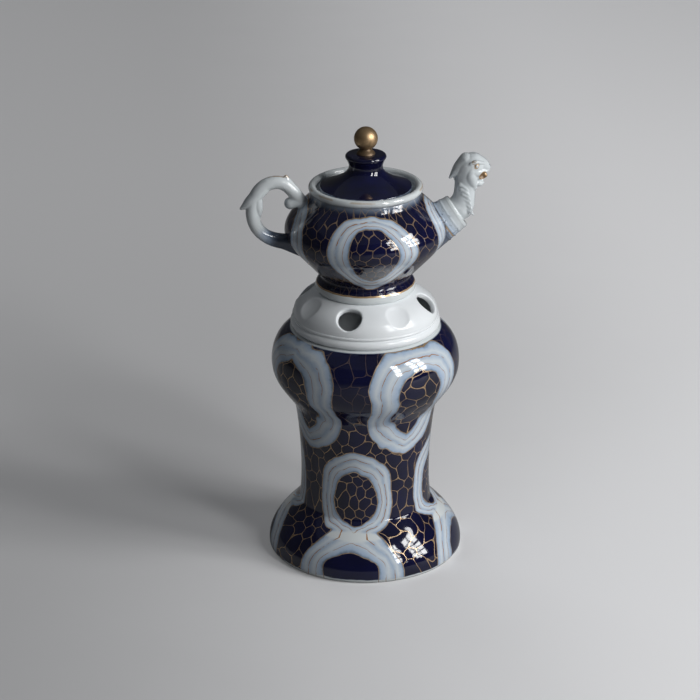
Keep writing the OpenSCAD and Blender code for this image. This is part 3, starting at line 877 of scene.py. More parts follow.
FOOT_CURVE = [(60, 2), (61, 13.86), (50.6, 23.4), (41.2, 32.6)]
WAIST_CURVE = [(40.8, 33.3), (38.7, 48.12), (39.8, 75.21), (43, 95)]
UNDER_CURVE = [(43.4, 97), (48, 106.15), (57.4, 112.2), (57.4, 125)]
OVER_CURVE = [(57.4, 125), (57.4, 136.9), (52, 143.9), (44.5, 147.5)]
STAND_MOUTH = [OVER_CURVE[3], (40, 147.5), (40, 143.5)]
FOOT_RING = (55, 58.5)
ARCH_SECTOR = 60
ARCH_COLUMNS = 64
ARCH_RINGS = 22
SILL_COLUMNS = 20
WAIST_ROWS = 40
BESIDE_ARCH = np.linspace(ARCH_SECTOR, 360 - ARCH_SECTOR, ROUND - ARCH_COLUMNS + 1)


def arch_outline(width, height, floor):
    """Points of the arch's edge, and the directions away from the opening."""
    radius = width / 2
    spring = height - radius
    s = np.linspace(0, 2 * spring + math.pi * radius, 2 * WAIST_ROWS + ARCH_COLUMNS + 1)
    a = np.clip((s - spring) / radius, 0, math.pi)
    left = np.minimum(s, spring)
    right = np.maximum(s - spring - math.pi * radius, 0)
    rise = left - right + radius * np.sin(a)
    away = np.stack([-np.cos(a), np.sin(a)], 1)
    return np.stack([-radius * np.cos(a), floor + rise], 1), away


def arch_patch(profile, outline):
    """A wall round the arch, from its outline to the edges of the sector about it."""
    across, up = profile.T
    left = [(-ARCH_SECTOR, z) for z in up]
    top = [(b, up[-1]) for b in np.linspace(-ARCH_SECTOR, ARCH_SECTOR, ARCH_COLUMNS + 1)[1:-1]]
    right = [(ARCH_SECTOR, z) for z in up[::-1]]
    edge = np.array(left + top + right)
    radius = np.interp(outline[:, 1], up, across)
    hole = np.stack([np.degrees(np.arcsin(outline[:, 0] / radius)), outline[:, 1]], 1)
    place = hole + (edge - hole) * np.linspace(0, 1, ARCH_RINGS + 1)[:, None, None]
    return polar(place[..., 0], np.interp(place[..., 1], up, across), place[..., 1])


def stand_clay(sizes):
    clay = Clay()
    wall, floor, rim = sizes.wall / MM, sizes.floor / MM, sizes.rim / MM
    waist = bezier(WAIST_CURVE, WAIST_ROWS)
    waist[0, 1] = floor
    waist_in = inside(WAIST_CURVE, wall, WAIST_ROWS)
    waist_in[0] = (waist[0, 0] - wall, floor)
    foot = np.vstack([
        soften([(FOOT_RING[0], 0), (FOOT_RING[1], 0), FOOT_CURVE[0]], 0.8, closed=False),
        bezier(FOOT_CURVE)[1:], waist[:1],
    ])
    shoulder = np.vstack([waist[-1:], bezier(UNDER_CURVE), bezier(OVER_CURVE)[1:]])
    mouth = soften(STAND_MOUTH, 0.8, closed=False)
    inner = np.vstack([inside(OVER_CURVE, wall)[::-1], inside(UNDER_CURVE, wall)[::-1], waist_in[-1:]])
    underside = np.vstack([[(0, floor - wall)], inside(FOOT_CURVE, wall)[::-1], [(FOOT_RING[0], 0)]])

    outline, away = arch_outline(sizes.arch_width / MM, sizes.arch_rise / MM, floor)
    path = []
    for skin, sense in ((waist, -1), (waist_in, 1)):
        lip = []
        for turn in np.radians([0, 22.5, 45, 67.5, 90]):
            at = outline + away * rim * (1 - math.sin(turn))
            radius = np.interp(at[:, 1], skin[:, 1], skin[:, 0])
            depth = np.sqrt(radius**2 - at[:, 0] ** 2) + sense * rim * (1 - math.cos(turn))
            lip.append(np.stack([at[:, 0], depth, at[:, 1]], 1))
        path += lip if sense < 0 else lip[::-1]
    jamb = np.array(path)
    spread = outline + away * rim
    outer_patch, inner_patch = arch_patch(waist, spread), arch_patch(waist_in, spread)

    even = np.linspace(0, 360, ROUND, endpoint=False) - ARCH_SECTOR
    outer_foot = arch_columns(outer_patch)
    floor_columns = arch_columns(inner_patch)
    radii = np.hypot(jamb[:, 0, 0], jamb[:, 0, 1])
    ends = np.degrees(np.arctan2(jamb[:, 0, 0], jamb[:, 0, 1]))
    sill = [polar(np.linspace(end, -end, SILL_COLUMNS + 1), r, floor) for r, end in zip(radii, ends)]

    clay.turn(foot[:4], bearings=outer_foot, finish=2)
    clay.turn(foot[3:], bearings=outer_foot)
    clay.turn(waist, bearings=BESIDE_ARCH, wrap=False)
    clay.grid(outer_patch)
    clay.turn(np.vstack([shoulder, mouth[1:4]]), bearings=even)
    clay.turn(np.vstack([mouth[3:], inner]), bearings=even, finish=1)
    clay.turn(waist_in, bearings=BESIDE_ARCH, wrap=False, finish=1)
    clay.grid(inner_patch, finish=1)
    clay.grid(jamb, finish=1)
    clay.grid(sill, finish=1)
    floor_rings = [(radius, floor) for radius in np.linspace(waist_in[0, 0], 0, 12)]
    clay.turn(floor_rings, bearings=floor_columns, finish=1)
    clay.turn(underside, bearings=outer_foot, finish=1)
    clay.spin(sizes.turn)
    return clay


def arch_columns(patch):
    """Bearings of the columns all round at the floor's level, where the patch and the sill end."""
    left = np.degrees(np.arctan2(patch[::-1, 0, 0], patch[::-1, 0, 1]))
    sill = np.linspace(left[-1], -left[-1], SILL_COLUMNS + 1)
    return np.concatenate([left[:-1], sill[:-1], -left[::-1][:-1], BESIDE_ARCH[:-1]])


class WARMER_OT_stand(bpy.types.Operator):
    """Hollow waisted stand with its burner arch"""

    bl_idname = "warmer.stand"
    bl_label = "Stand"

    def execute(self, context):
        sizes, glaze = context.scene.warmer_stand, context.scene.warmer_glaze
        piece = stand_clay(sizes).piece("stand_porcelain")
        white = white_paint(glaze)
        settle(piece, "stand", ["stand"], "stand_glaze", stand_paint(glaze, sizes), white, biscuit_paint())
        return {"FINISHED"}


# Collar

DOME_CURVE = [(44, 155.2), (44, 162.8), (37.45, 167.39), (29.5, 170.95)]
SEAT = (23.5, 170.95)
SPIGOT = (36.3, 39.3, 142.5)
LIP_CENTRE = (42.6, 150.5)
BEAD = (43.56, 154.6, 1.1)
VENT_SHARE = 0.56
EIGHTH = 22.5


class Dome:
    """The collar's dome, with places given by bearing and by distance up its outside."""

    def __init__(self):
        self.line = bezier(DOME_CURVE, 200)
        steps = np.linalg.norm(np.diff(self.line, axis=0), axis=1)
        self.run = np.concatenate([[0], np.cumsum(steps)])
        way = np.gradient(self.line, axis=0)
        way /= np.linalg.norm(way, axis=1)[:, None]
        self.out = np.stack([way[:, 1], -way[:, 0]], 1)
        self.middle = np.interp(VENT_SHARE, np.linspace(0, 1, 201), self.run)

    def radius(self, up):
        return np.interp(up, self.run, self.line[:, 0])

    def at(self, bearing, up, sink):
        """Points that lie `sink` inside the outside."""
        place = [np.interp(up, self.run, self.line[:, k]) for k in (0, 1)]
        out = [np.interp(up, self.run, self.out[:, k]) for k in (0, 1)]
        return polar(bearing, place[0] - sink * out[0], place[1] - sink * out[1])

    def ring(self, bearing, heading, radius, sink):
        """A round ring of points about the middle of one sector."""
        up = self.middle + radius * np.sin(heading)
        across = np.degrees(radius * np.cos(heading) / self.radius(up))
        return bearing + across, up, sink


def collar_eighth(clay, dome, bearing, sizes, pierced):
    """One eighth of the collar, with a vent hole or a blind dimple in its dome."""
    wall, hole = sizes.wall / MM, sizes.vent_width / MM / 2
    columns = np.linspace(-EIGHTH, EIGHTH, 25)
    rows = np.linspace(0, dome.run[-1], 17)
    edge = np.array(
        [(b, 0) for b in columns[:-1]] + [(EIGHTH, m) for m in rows[:-1]]
        + [(b, rows[-1]) for b in columns[:0:-1]] + [(-EIGHTH, m) for m in rows[:0:-1]]
    )
    heading = np.arctan2(edge[:, 1] - dome.middle, np.radians(edge[:, 0]) * dome.radius(dome.middle))
    lip = 0.9
    turns = np.radians(np.linspace(0, 90, 6))

    def spread(radius, sink, shares):
        near, up, _ = dome.ring(0, heading, radius, sink)
        for w in shares:
            yield dome.at(bearing + near + (edge[:, 0] - near) * w, up + (edge[:, 1] - up) * w, sink)

    def rings(sizes_and_sinks):
        for radius, sink in sizes_and_sinks:
            yield dome.at(*dome.ring(bearing, heading, radius, sink))

    outward = np.linspace(1, 0, 9)
    skin = list(spread(hole + lip, 0, outward))
    back = list(spread(hole + lip, wall, outward[::-1]))
    if pierced:
        skin += rings((hole + lip * (1 - math.sin(t)), lip * (1 - math.cos(t))) for t in turns[1:])
        skin += rings((hole + lip * (1 - math.sin(t)), wall - lip * (1 - math.cos(t))) for t in turns[::-1])
        clay.grid(skin + back[1:], wrap=True)
    else:
        deep = sizes.dimple_depth / MM
        dish = [(hole * q, deep * (1 - q**2) ** 0.9 + 0.06 * q) for q in np.linspace(1, 0, 12)]
        clay.grid(skin + list(rings(dish)), wrap=True)
        clay.grid(list(rings((hole * q, wall) for q in np.linspace(0, 1, 6))) + back, wrap=True)
    spigot_in, spigot_out, spigot_low = SPIGOT
    start, end = dome.line[0], dome.line[-1]
    start_in, end_in = start - wall * dome.out[0], end - wall * dome.out[-1]
    low = soften(np.vstack([
        [start_in, (spigot_in, LIP_CENTRE[1]), (spigot_in, spigot_low), (spigot_out, spigot_low)],
        [(spigot_out, top_of("stand"))], arc(LIP_CENTRE, sizes.lip_roll / MM, -90, 60),
        arc(BEAD[:2], BEAD[2], -60, 60), [start],
    ]), 0.6, closed=False)
    high = soften([end, SEAT, (SEAT[0], SEAT[1] - wall), end_in], 0.8, closed=False)
    for path in (low, high):
        clay.turn(path, bearings=bearing + columns, wrap=False)


class WARMER_OT_collar(bpy.types.Operator):
    """White pierced collar between the stand and the pot"""

    bl_idname = "warmer.collar"
    bl_label = "Collar"

    def execute(self, context):
        sizes, glaze = context.scene.warmer_collar, context.scene.warmer_glaze
        clay, dome = Clay(), Dome()
        collar_eighth(clay, dome, 180, sizes, pierced=True)
        collar_eighth(clay, dome, 180 + 2 * EIGHTH, sizes, pierced=False)
        clay.spin(sizes.turn)
        piece = clay.piece("collar_porcelain")
        white = white_paint(glaze)
        tree = Grower("collar_quarters")
        count = tree.size("Vents", "Int", sizes.vents)
        weld = tree.size("Weld", "Float", 5e-6)
        quarters = tree.real(tree.copies(tree.given, tree.all_round(count), count))
        welded = tree.add("GeometryNodeMergeByDistance", {"Geometry": quarters, "Distance": weld})
        tree.grow(piece, welded, white)
        face_outwards(piece.data)
        settle(piece, "collar", ["vent_collar"], "white_glaze", white)
        return {"FINISHED"}


# Pot

POT_SEAT = 171
FOOT_ROLL = [(29, 171), (31.4, 172.2), (30.5, 177), (27.8, 178.5)]
FOOT_NECK = [(27.8, 178.5), (26.2, 180.1), (27.2, 182.5), (30.7, 184.5)]
LOWER_BELLY = [(30.7, 184.5), (38.85, 193.81), (48.8, 202.14), (48.8, 209)]
UPPER_BELLY = [(48.8, 209), (48.8, 216), (43.1, 221.7), (34, 229.5)]
RIM_CENTRE = (32, 235.5)
LEDGE_IN, LEDGE_OUT, LEDGE_HEIGHT = 25.6, 29.7, 234.2
POT_FLOOR = 180.5
BELLY = (48.8, 209)
POT_SPIGOT = [(0, 176), (19.8, 176), (19.8, 166), (22.8, 166), (22.8, POT_SEAT)]
STRAINER_HEIGHT = 211.4
STRAINER_HOLES = 7


class WARMER_OT_pot(bpy.types.Operator):
    """Squat pot with its foot, belly and rolled rim"""

    bl_idname = "warmer.pot"
    bl_label = "Pot"

    def execute(self, context):
        sizes, glaze = context.scene.warmer_pot, context.scene.warmer_glaze
        wall, roll = sizes.wall / MM, sizes.rim_roll / MM
        lower = inside(LOWER_BELLY, wall)
        bowl = bezier([lower[0], lower[0] + (-4, -3), (18.3, POT_FLOOR + 0.3), (0, POT_FLOOR)])
        ledge = [(LEDGE_OUT, LEDGE_HEIGHT), (LEDGE_IN, LEDGE_HEIGHT), (LEDGE_IN, LEDGE_HEIGHT - wall)]
        outer = np.vstack([
            POT_SPIGOT, bezier(FOOT_ROLL, 14), bezier(FOOT_NECK, 10),
            bezier(LOWER_BELLY), bezier(UPPER_BELLY), arc(RIM_CENTRE, roll, -80, 180), ledge,
            inside(UPPER_BELLY, wall)[::-1], lower[::-1], bowl[1:],
        ])
        piece = throw("pot_porcelain", soften(outer, 0.5, closed=False))
        paint = pot_paint(glaze, POT_SEAT)
        self.strainer(piece, sizes, paint)
        settle(piece, "teapot", ["teapot_body"], "pot_glaze", paint)
        return {"FINISHED"}

    def strainer(self, piece, sizes, paint):
        """Drills seven holes through the wall behind the spout."""
        tree = Grower("strainer")
        width = tree.size("Hole", "Float", sizes.strainer_hole)
        pitch = tree.size("Pitch", "Float", sizes.strainer_pitch)
        index = tree.index()
        reach = tree.math("MULTIPLY", pitch, tree.math("MINIMUM", index, 1.0))
        bearing = tree.math("MULTIPLY_ADD", index, math.pi / 3, math.pi / 6)
        across = tree.math("MULTIPLY", reach, tree.math("COSINE", bearing))
        rise = tree.math("MULTIPLY_ADD", reach, tree.math("SINE", bearing), STRAINER_HEIGHT * MM)
        drill = tree.add("GeometryNodeMeshCylinder", {
            "Vertices": 32, "Radius": tree.math("MULTIPLY", width, 0.5), "Depth": BELLY[0] * MM,
        })
        at = tree.point(BELLY[0] * MM, across, rise)
        drills = tree.copies(drill, tree.turned(y=math.pi / 2), STRAINER_HOLES, at)
        meshes = {"Mesh 1": tree.given, "Mesh 2": tree.real(drills)}
        drilled = tree.add("GeometryNodeMeshBoolean", meshes, operation="DIFFERENCE", solver="EXACT")
        tree.grow(piece, drilled, paint)
        face_outwards(piece.data)


# Spout and handle

CUFF_START, CUFF_END = (-14, -4.1), (6.7, 9.6)
CUFF_ROOT, CUFF_TIP = (14, 11.6), (10.8, 9.2)
RIBS_ALONG = (0.46, 0.94)
RIB_RADIUS = 12.4
FIRST_RIB, LAST_RIB = (1, 0.83, 1), (0.86, 0.73, 1)
NECK_AND_SKULL = [
    (3.5, 7.5, -45, 6, 6), (7.4, 11, -52, 8.2, 7.6), (9.6, 14.5, -66, 7.6, 7), (10.6, 19, -82, 6.7, 6.4),
    (11.1, 23.5, -88, 6.5, 6), (12, 28.5, -90, 7.2, 6.4), (13.4, 34, -90, 8.4, 7.3),
    (14.4, 38.6, -90, 8.6, 7.5), (15, 42, -90, 6.9, 6.4), (15.4, 44.4, -90, 4.5, 4.3),
    (15.6, 45.6, -90, 2.1, 2),
]
MUZZLE = [
    (14, 39.4, 0, 5.9, 5.9), (18, 39.2, 0, 5.6, 5.3), (21.5, 38.4, 0, 4.8, 4.5), (24, 37.5, 0, 3.6, 3.5),
    (25.6, 36.9, 0, 2.1, 2.3), (26.2, 36.7, 0, 0.9, 1.1),
]
JAW = [(12, 31, 0, 5.3, 5.2), (16, 29.7, 0, 3.6, 4.4), (19, 28.8, 0, 2.2, 3.2), (20.9, 28.6, 0, 1.2, 1.9)]
CREST = [(11.5, 0, 41.4, 4.4), (6.6, 0, 36.2, 3.3), (1.9, 0, 30.6, 0.8)]
CREST_UNDER = [(6.4, 0, 34.5, 2.2), (5.4, 0, 30.6, 1.5), (6.3, 0, 27.8, 1.1)]
BROW = [(13.4, 6.9, 41.0, 0.9), (16.4, 6.6, 41.9, 1.3), (19.6, 5.1, 41.0, 1.1), (22.4, 3.2, 39.9, 0.8)]
CHEEK = [(14, 4.3, 38, 3.3), (13.7, 4.2, 33, 3.9), (14.5, 3.5, 29, 3.5), (16, 2.4, 25, 2.2)]
FACE = [(14, 4.2, 35.5, 3.8), (17.4, 3.8, 35, 3.3), (20.6, 3.0, 35.2, 2.3)]
LIP = [(17, 5.2, 34.6, 0.8), (20, 4.5, 34.9, 0.9), (23, 3.2, 35, 0.9), (25, 1.2, 35, 0.8)]
MOUTH_WALL = [(17, 3.4, 31.8, 1.9), (20.4, 3.2, 31.8, 1.8), (22.6, 2.9, 32.4, 1.5)]
CHIN = [(17.2, 2.4, 27.4, 2.0), (19.7, 2.3, 27.0, 1.7), (21.3, 1.5, 27.4, 1.2)]
MOUTH_CORNER = (21.4, 6.3, 32.4, 2.7)
EYE = (16.8, 6.3, 39.4, 1.5)
NOSTRIL = (25.3, 1.5, 38.3, 0.7)
POUR_WAY = [
    (-14, -4.2, -34, 10, 9), (0, 5, -34, 7.6, 7), (6.5, 10.5, -50, 4.6, 4.6), (9.3, 17, -78, 3.3, 3.3),
    (10.2, 25, -80, 3.1, 3.1), (12, 30.5, -55, 2.9, 2.9), (16, 32.4, -15, 2.3, 2.4), (20, 32.4, 0, 1.9, 2.4),
    (24, 32.2, 0, 2.1, 2.8), (29, 32.2, 0, 2.3, 3.2),
]
HANDLE_REACH, HANDLE_RISE, HANDLE_LOW = 26.2, 37.5, -6
HANDLE_CURVES = [
    [(-0.62, 0.44), (-0.28, 0.7), (-0.16, 1.0), (0.2, 0.995)],
    [(0.2, 0.995), (0.54, 0.985), (0.745, 0.76), (0.735, 0.5)],
    [(0.735, 0.5), (0.72, 0.2), (0.43, 0.04), (0.05, 0)],
    [(0.05, 0), (-0.11, -0.025), (-0.3, -0.08), (-0.62, -0.16)],
]
ROOT_SWELL = 0.5
FEATHER = [(-2.2, 0, 1.6, 1.3), (0.4, 0, -0.2, 1.25), (2.6, 0, -2.4, 0.4)]
FEATHER_TURN = 0.25
MANE_ENDS = [(9.6, 5.5, 26.0), (13.2, 6.7, 11.0)]
LEAF = [(0.46, 0.91, 0.46), (0.67, 0.76, 0.48), (0.82, 0.66, 0.4), (0.985, 0.575, 0.13)]
LEAF_TIP = [(-0.26, 0.74, 0.46), (-0.12, 0.92, 0.44), (-0.04, 1.08, 0.17)]
CURL = [(-0.28, 0.66, 0.4), (-0.125, 0.635, 0.43)]
INNER_LEAF = [(0.62, 0.74, 0.42), (0.6, 0.56, 0.37), (0.575, 0.42, 0.14)]


def out_from_belly(rows, sides=(1,)):
    """Beads of x, y, z and radius that are drawn from the belly's widest point."""
    for side in sides:
        yield [(BELLY[0] + x, side * y, BELLY[1] + z, r) for x, y, z, r in rows]


def ball(clay, x, y, z, radius):
    """A round ball of clay."""
    a = np.linspace(-math.pi / 2, math.pi / 2, 17)[:, None]
    b = np.linspace(0, 2 * math.pi, 32, endpoint=False)
    rows = np.stack(np.broadcast_arrays(np.cos(a) * np.cos(b), np.cos(a) * np.sin(b), np.sin(a)), -1)
    clay.grid(np.array([x, y, z]) + radius * rows, wrap=True)


def from_belly(rings):
    """Rings for a loft that are drawn from the belly's widest point."""
    rings = smooth_rows(rings, 6)
    rings[:, :2] += BELLY
    return rings


def pot_core(sunk):
    """The pot's outside, sunk a little into its wall, which moulded pieces are cut back to."""
    line = np.vstack([
        [(0, POT_SEAT)], inside(FOOT_NECK, sunk), inside(LOWER_BELLY, sunk), inside(UPPER_BELLY, sunk),
        [(0, UPPER_BELLY[3][1])],
    ])
    return throw("pot_core", line, 128)


def modify(piece, name, kind, **settings):
    modifier = piece.modifiers.new(name, kind)
    for key, value in settings.items():
        setattr(modifier, key, value)


def fuse(piece, grain, rubs, cutters):
    """Melts overlapping clay into one moulded skin, then cuts it with other forms."""
    modify(piece, "melt", "REMESH", mode="VOXEL", voxel_size=grain)
    modify(piece, "rub", "SMOOTH", factor=0.5, iterations=rubs)
    for cutter in cutters:
        modify(piece, cutter.name, "BOOLEAN", operation="DIFFERENCE", solver="EXACT", object=cutter)
    bake(piece)
    for cutter in cutters:
        bpy.data.objects.remove(cutter)
    face_outwards(piece.data)


def moulded_paint(name, glaze, touches):
    """White glaze with touches of pale blue, cobalt, gilt and brown, whose masks `touches` gives. On the
    handle the pale blue and cobalt touches are painted shade, and the brown is painted shade in the spout's
    mouth and pour way.
    """
    paint = Paint(name)
    tint = pooled_white(paint, glaze, 18, 0.84)
    blue, deep, gold, brown = touches(paint)
    # Pale blue and cobalt: the spout's painted root, and painted shade where the handle meets the pot.
    tint = paint.mix(blue, tint, glaze.band)
    tint = paint.mix(deep, tint, blend(glaze.cobalt, glaze.band, 2, 0.08))
    tint = paint.mix(gold, tint, glaze.gilt)
    # Painted shade: dark brown in the spout's mouth and pour way.
    tint = paint.mix(brown, tint, (0.11, 0.062, 0.028))
    roughness = gold * 0.2 + 0.09
    metal = gold * (1 - brown) * 0.7
    return paint.finish(tint, roughness, metal, glaze_ripple(paint), bump=0.25, coat=0.3)


def spout_touches(paint):
    """Gilt eye, brow and mouth, brown painted shade in the mouth's hollow and the pour way behind it, and a
    blue root with a gilt line round it.
    """
    x, z = BELLY
    run = cuff_run(paint)
    brush = paint.fade(paint.noise(2.2, detail=2, seed=62.0), 0.3, 0.7)
    root = paint.fall(run + paint.noise(5, seed=63.0) * 0.8, 14.5, 22.5)
    edge = paint.fall(run + paint.noise(4, seed=66.0) * 0.5, 12.6, 14.2)
    rubbed = paint.fade(paint.noise(1.6, seed=67.0), -0.6, 0.3)
    eye = paint.near(x + 16.6, 7.2, z + 39.9, 2.0, 0.4) - paint.near(x + 17.0, 7.4, z + 39.4, 0.9, 0.25)
    brow = paint.near(x + 15.4, 7.2, z + 41.9, 1.4, 0.5)
    mouth = paint.near(x + 21.4, 5.0, z + 32.4, 2.9, 0.25)
    inner = paint.near(x + 20.6, 4.2, z + 32.2, 1.6, 0.7)
    # Painted shade: brown that darkens the mouth's hollow and the pour way.
    throat_shade = paint.most(mouth * 0.35 + inner * 0.5, paint.near(x + 18, 0.0, z + 32.4, 3.2, 0.8))
    ring = paint.fall(abs(run - 14.4 + paint.noise(5, seed=61.0) * 0.2), 0.3, 0.55)
    gold = paint.most(paint.most(eye, brow) * rubbed, paint.most(mouth, ring))
    return root * 0.8, paint.most(brush * root * 0.75, edge * 0.8), gold, throat_shade


def cuff_run(paint):
    """Distance along the cuff from where it starts inside the pot."""
    way = np.subtract(CUFF_END, CUFF_START)
    way = way / np.linalg.norm(way)
    x, z = np.add(BELLY, CUFF_START)
    return (paint.x - x) * way[0] + (paint.z - z) * way[1]


def handle_touches(paint):
    """A worn gilt line along the top, painted blue and dark shade along the lower limb where it meets the
    pot, and a pale blue touch on the curl.
    """
    x, z = BELLY
    up = paint.z - (z + 31.4) + (paint.x + x + 8) * 0.06
    top = paint.fade(up, 2.8, 3.5) * paint.fall(abs(paint.y), 0.6, 1.4)
    gold = top * paint.fade(paint.noise(6, seed=64.0), -0.6, 0.0) * 0.6
    low = paint.fall(paint.z, z, z + 5)
    spread = paint.radius() + paint.noise(5, seed=65.0) * 1.6
    # Painted shade: pale blue, then a darker cobalt tone, on the lower limb near the pot.
    root = paint.fall(spread, 57.0, 68.0) * low
    dark = paint.fall(spread, 54.0, 63.0) * low
    curl = paint.near(0.3 - x, 0.0, z + 17, 4.0, 2.0)
    return paint.most(root, curl * 0.35), dark * 0.9, gold, 0.0


class WARMER_OT_spout(bpy.types.Operator):
    """Animal-head spout with its ribbed cuff and feathered neck"""

    bl_idname = "warmer.spout"
    bl_label = "Spout"

    def execute(self, context):
        sizes, glaze = context.scene.warmer_pot, context.scene.warmer_glaze
        paint = moulded_paint("spout_glaze", glaze, spout_touches)
        clay = Clay()
        clay.loft(from_belly(NECK_AND_SKULL), 56)
        clay.loft(from_belly(MUZZLE))
        clay.loft(from_belly(JAW))
        for beads in out_from_belly(CREST):
            clay.limb(beads, 1.25)
        for beads in out_from_belly(CREST_UNDER):
            clay.limb(beads, 0.6)
        for line in (BROW, CHEEK, FACE, LIP, MOUTH_WALL, CHIN):
            for beads in out_from_belly(line, (-1, 1)):
                clay.limb(beads)
        for side in (-1, 1):
            ball(clay, BELLY[0] + EYE[0], side * EYE[1], BELLY[1] + EYE[2], EYE[3])
        piece = clay.piece("spout_porcelain")
        join(piece, self.cuff(sizes, paint), self.mane(sizes, paint))
        way = Clay()
        way.loft(from_belly(POUR_WAY), 32)
        holes = [way.piece("pour_way"), pot_core(1.0)]
        for side in (-1, 1):
            for x, y, z, radius in (NOSTRIL, MOUTH_CORNER):
                dent = Clay()
                ball(dent, BELLY[0] + x, side * y, BELLY[1] + z, radius)
                holes.append(dent.piece("dent"))
        fuse(piece, sizes.skin, 4, holes)
        settle(piece, "teapot", ["spout"], "white_glaze", paint)
        return {"FINISHED"}

    def cuff(self, sizes, paint):
        """A tapering sleeve with round ribs."""
        way = np.subtract(CUFF_END, CUFF_START)
        lean = -math.degrees(math.atan2(way[1], way[0]))
        clay = Clay()
        rings = []
        for t in np.linspace(0, 1, 17):
            x, z = np.add(CUFF_START, t * way)
            depth, width = np.add(CUFF_ROOT, t * np.subtract(CUFF_TIP, CUFF_ROOT))
            rings.append((BELLY[0] + x, BELLY[1] + z, lean, depth, width))
        clay.loft(rings, 56)
        sleeve = clay.piece("cuff")
        tree = Grower("cuff_ribs")
        count = tree.size("Ribs", "Int", sizes.ribs)
        thick = tree.size("Rib rise", "Float", sizes.rib_rise * 1.25)
        ends = [np.array(CUFF_START) + t * way + BELLY for t in RIBS_ALONG]
        place = tree.along(count)
        at = tree.between(place, *((x * MM, 0, z * MM) for x, z in ends))
        rib = tree.add("GeometryNodeCurveToMesh", {
            "Curve": tree.circle(64, RIB_RADIUS * MM), "Profile Curve": tree.circle(14, thick),
        })
        size = tree.between(place, FIRST_RIB, LAST_RIB)
        turn = tree.turned(y=math.pi / 2 + math.radians(lean))
        ribs = tree.copies(rib, turn, count, at, Scale=size)
        return tree.grow(sleeve, tree.joined(ribs, tree.given), paint)

    def mane(self, sizes, paint):
        """Pointed feathers down each side of the neck."""
        clay = Clay()
        clay.limb(FEATHER, 0.62)
        feather = clay.piece("mane")
        tree = Grower("mane_feathers")
        count = tree.size("Feathers", "Int", sizes.feathers)
        place = tree.along(count)
        rows = []
        for side in (-1, 1):
            ends = [((BELLY[0] + x) * MM, side * y * MM, (BELLY[1] + z) * MM) for x, y, z in MANE_ENDS]
            at = tree.between(place, *ends)
            rows.append(tree.copies(tree.given, tree.turned(z=side * FEATHER_TURN), count, at))
        return tree.grow(feather, tree.joined(*rows), paint)


def join(piece, *others):
    """Adds other pieces' meshes to a piece."""
    form = bmesh.new()
    for one in (piece, *others):
        form.from_mesh(one.data)
    form.to_mesh(piece.data)
    form.free()
    for one in others:
        bpy.data.objects.remove(one)


class WARMER_OT_handle(bpy.types.Operator):
    """Scroll handle with its leaf, tip and curl"""

    bl_idname = "warmer.handle"
    bl_label = "Handle"

    def execute(self, context):
        sizes, glaze = context.scene.warmer_pot, context.scene.warmer_glaze
        thick = sizes.handle_thickness / MM
        clay = Clay()
        rings = []
        for part, curve in enumerate(HANDLE_CURVES):
            line = bezier(curve, 16) * (HANDLE_REACH, HANDLE_RISE)
            way = np.gradient(line, axis=0)
            for i, ((x, z), (dx, dz)) in enumerate(zip(line[:-1], way)):
                swell = 1 + ROOT_SWELL * max(0, part + i / 16 - 2.6)
                lean = -math.degrees(math.atan2(dz, dx))
                rings.append((x + BELLY[0], z + BELLY[1] + HANDLE_LOW, lean, thick / 2 * swell, thick / 2))
        clay.loft(rings, 40)
        for beads, flat in ((LEAF, 1.1), (LEAF_TIP, 0.85), (CURL, 1.4), (INNER_LEAF, 1.15)):
            clay.limb([
                (x * HANDLE_REACH + BELLY[0], 0, z * HANDLE_RISE + HANDLE_LOW + BELLY[1], r * thick)
                for x, z, r in beads
            ], flat)
        clay.points = [points * (-1, 1, 1) for points in clay.points]
        piece = clay.piece("handle_porcelain")
        fuse(piece, sizes.skin, 7, [pot_core(1.0)])
        paint = moulded_paint("handle_glaze", glaze, handle_touches)
        settle(piece, "teapot", ["handle"], "white_glaze", paint)
        return {"FINISHED"}


# Lid and knob

OGEE = [(27.3, 237), (21.5, 238.6), (11.5, 242.6), (10.3, 247.7)]
LID_NECK = [(10.3, 247.7), (9.9, 249.7), (10.5, 250.9), (11.3, 252.8)]
LID_TOP = 256.4
LID_CEILING = [(0, 244.7), (7.3, 244.7)]
LID_FLANGE = [(21.9, 234.2), (21.9, 227.7), (24.9, 227.7), (24.9, 234.2), (27.8, 234.2), (27.8, 236.4)]
KNOB_SOCKET = [(3.2, LID_TOP), (3.2, 250.2), (0, 250.2)]
DISC_ROLL = 1.6
KNOB_NECK = LID_TOP + 4.4
KNOB_PEG = [(0, LID_TOP - 6), (3, LID_TOP - 6), (3, LID_TOP)]


class WARMER_OT_lid(bpy.types.Operator):
    """Cobalt lid with its ogee, neck and disc"""

    bl_idname = "warmer.lid"
    bl_label = "Lid"

    def execute(self, context):
        sizes, glaze = context.scene.warmer_lid, context.scene.warmer_glaze
        disc, wall = sizes.disc_radius / MM, sizes.wall / MM
        path = np.vstack([
            LID_CEILING, inside(OGEE, wall, start=0.22)[::-1], LID_FLANGE, bezier(OGEE), bezier(LID_NECK, 10),
            arc((disc - DISC_ROLL, LID_TOP - DISC_ROLL), DISC_ROLL, -40, 90), KNOB_SOCKET,
        ])
        piece = throw("lid_porcelain", soften(path, 0.6, closed=False), 144)
        settle(piece, "lid", ["lid"], "cobalt_glaze", cobalt_paint(glaze))
        return {"FINISHED"}


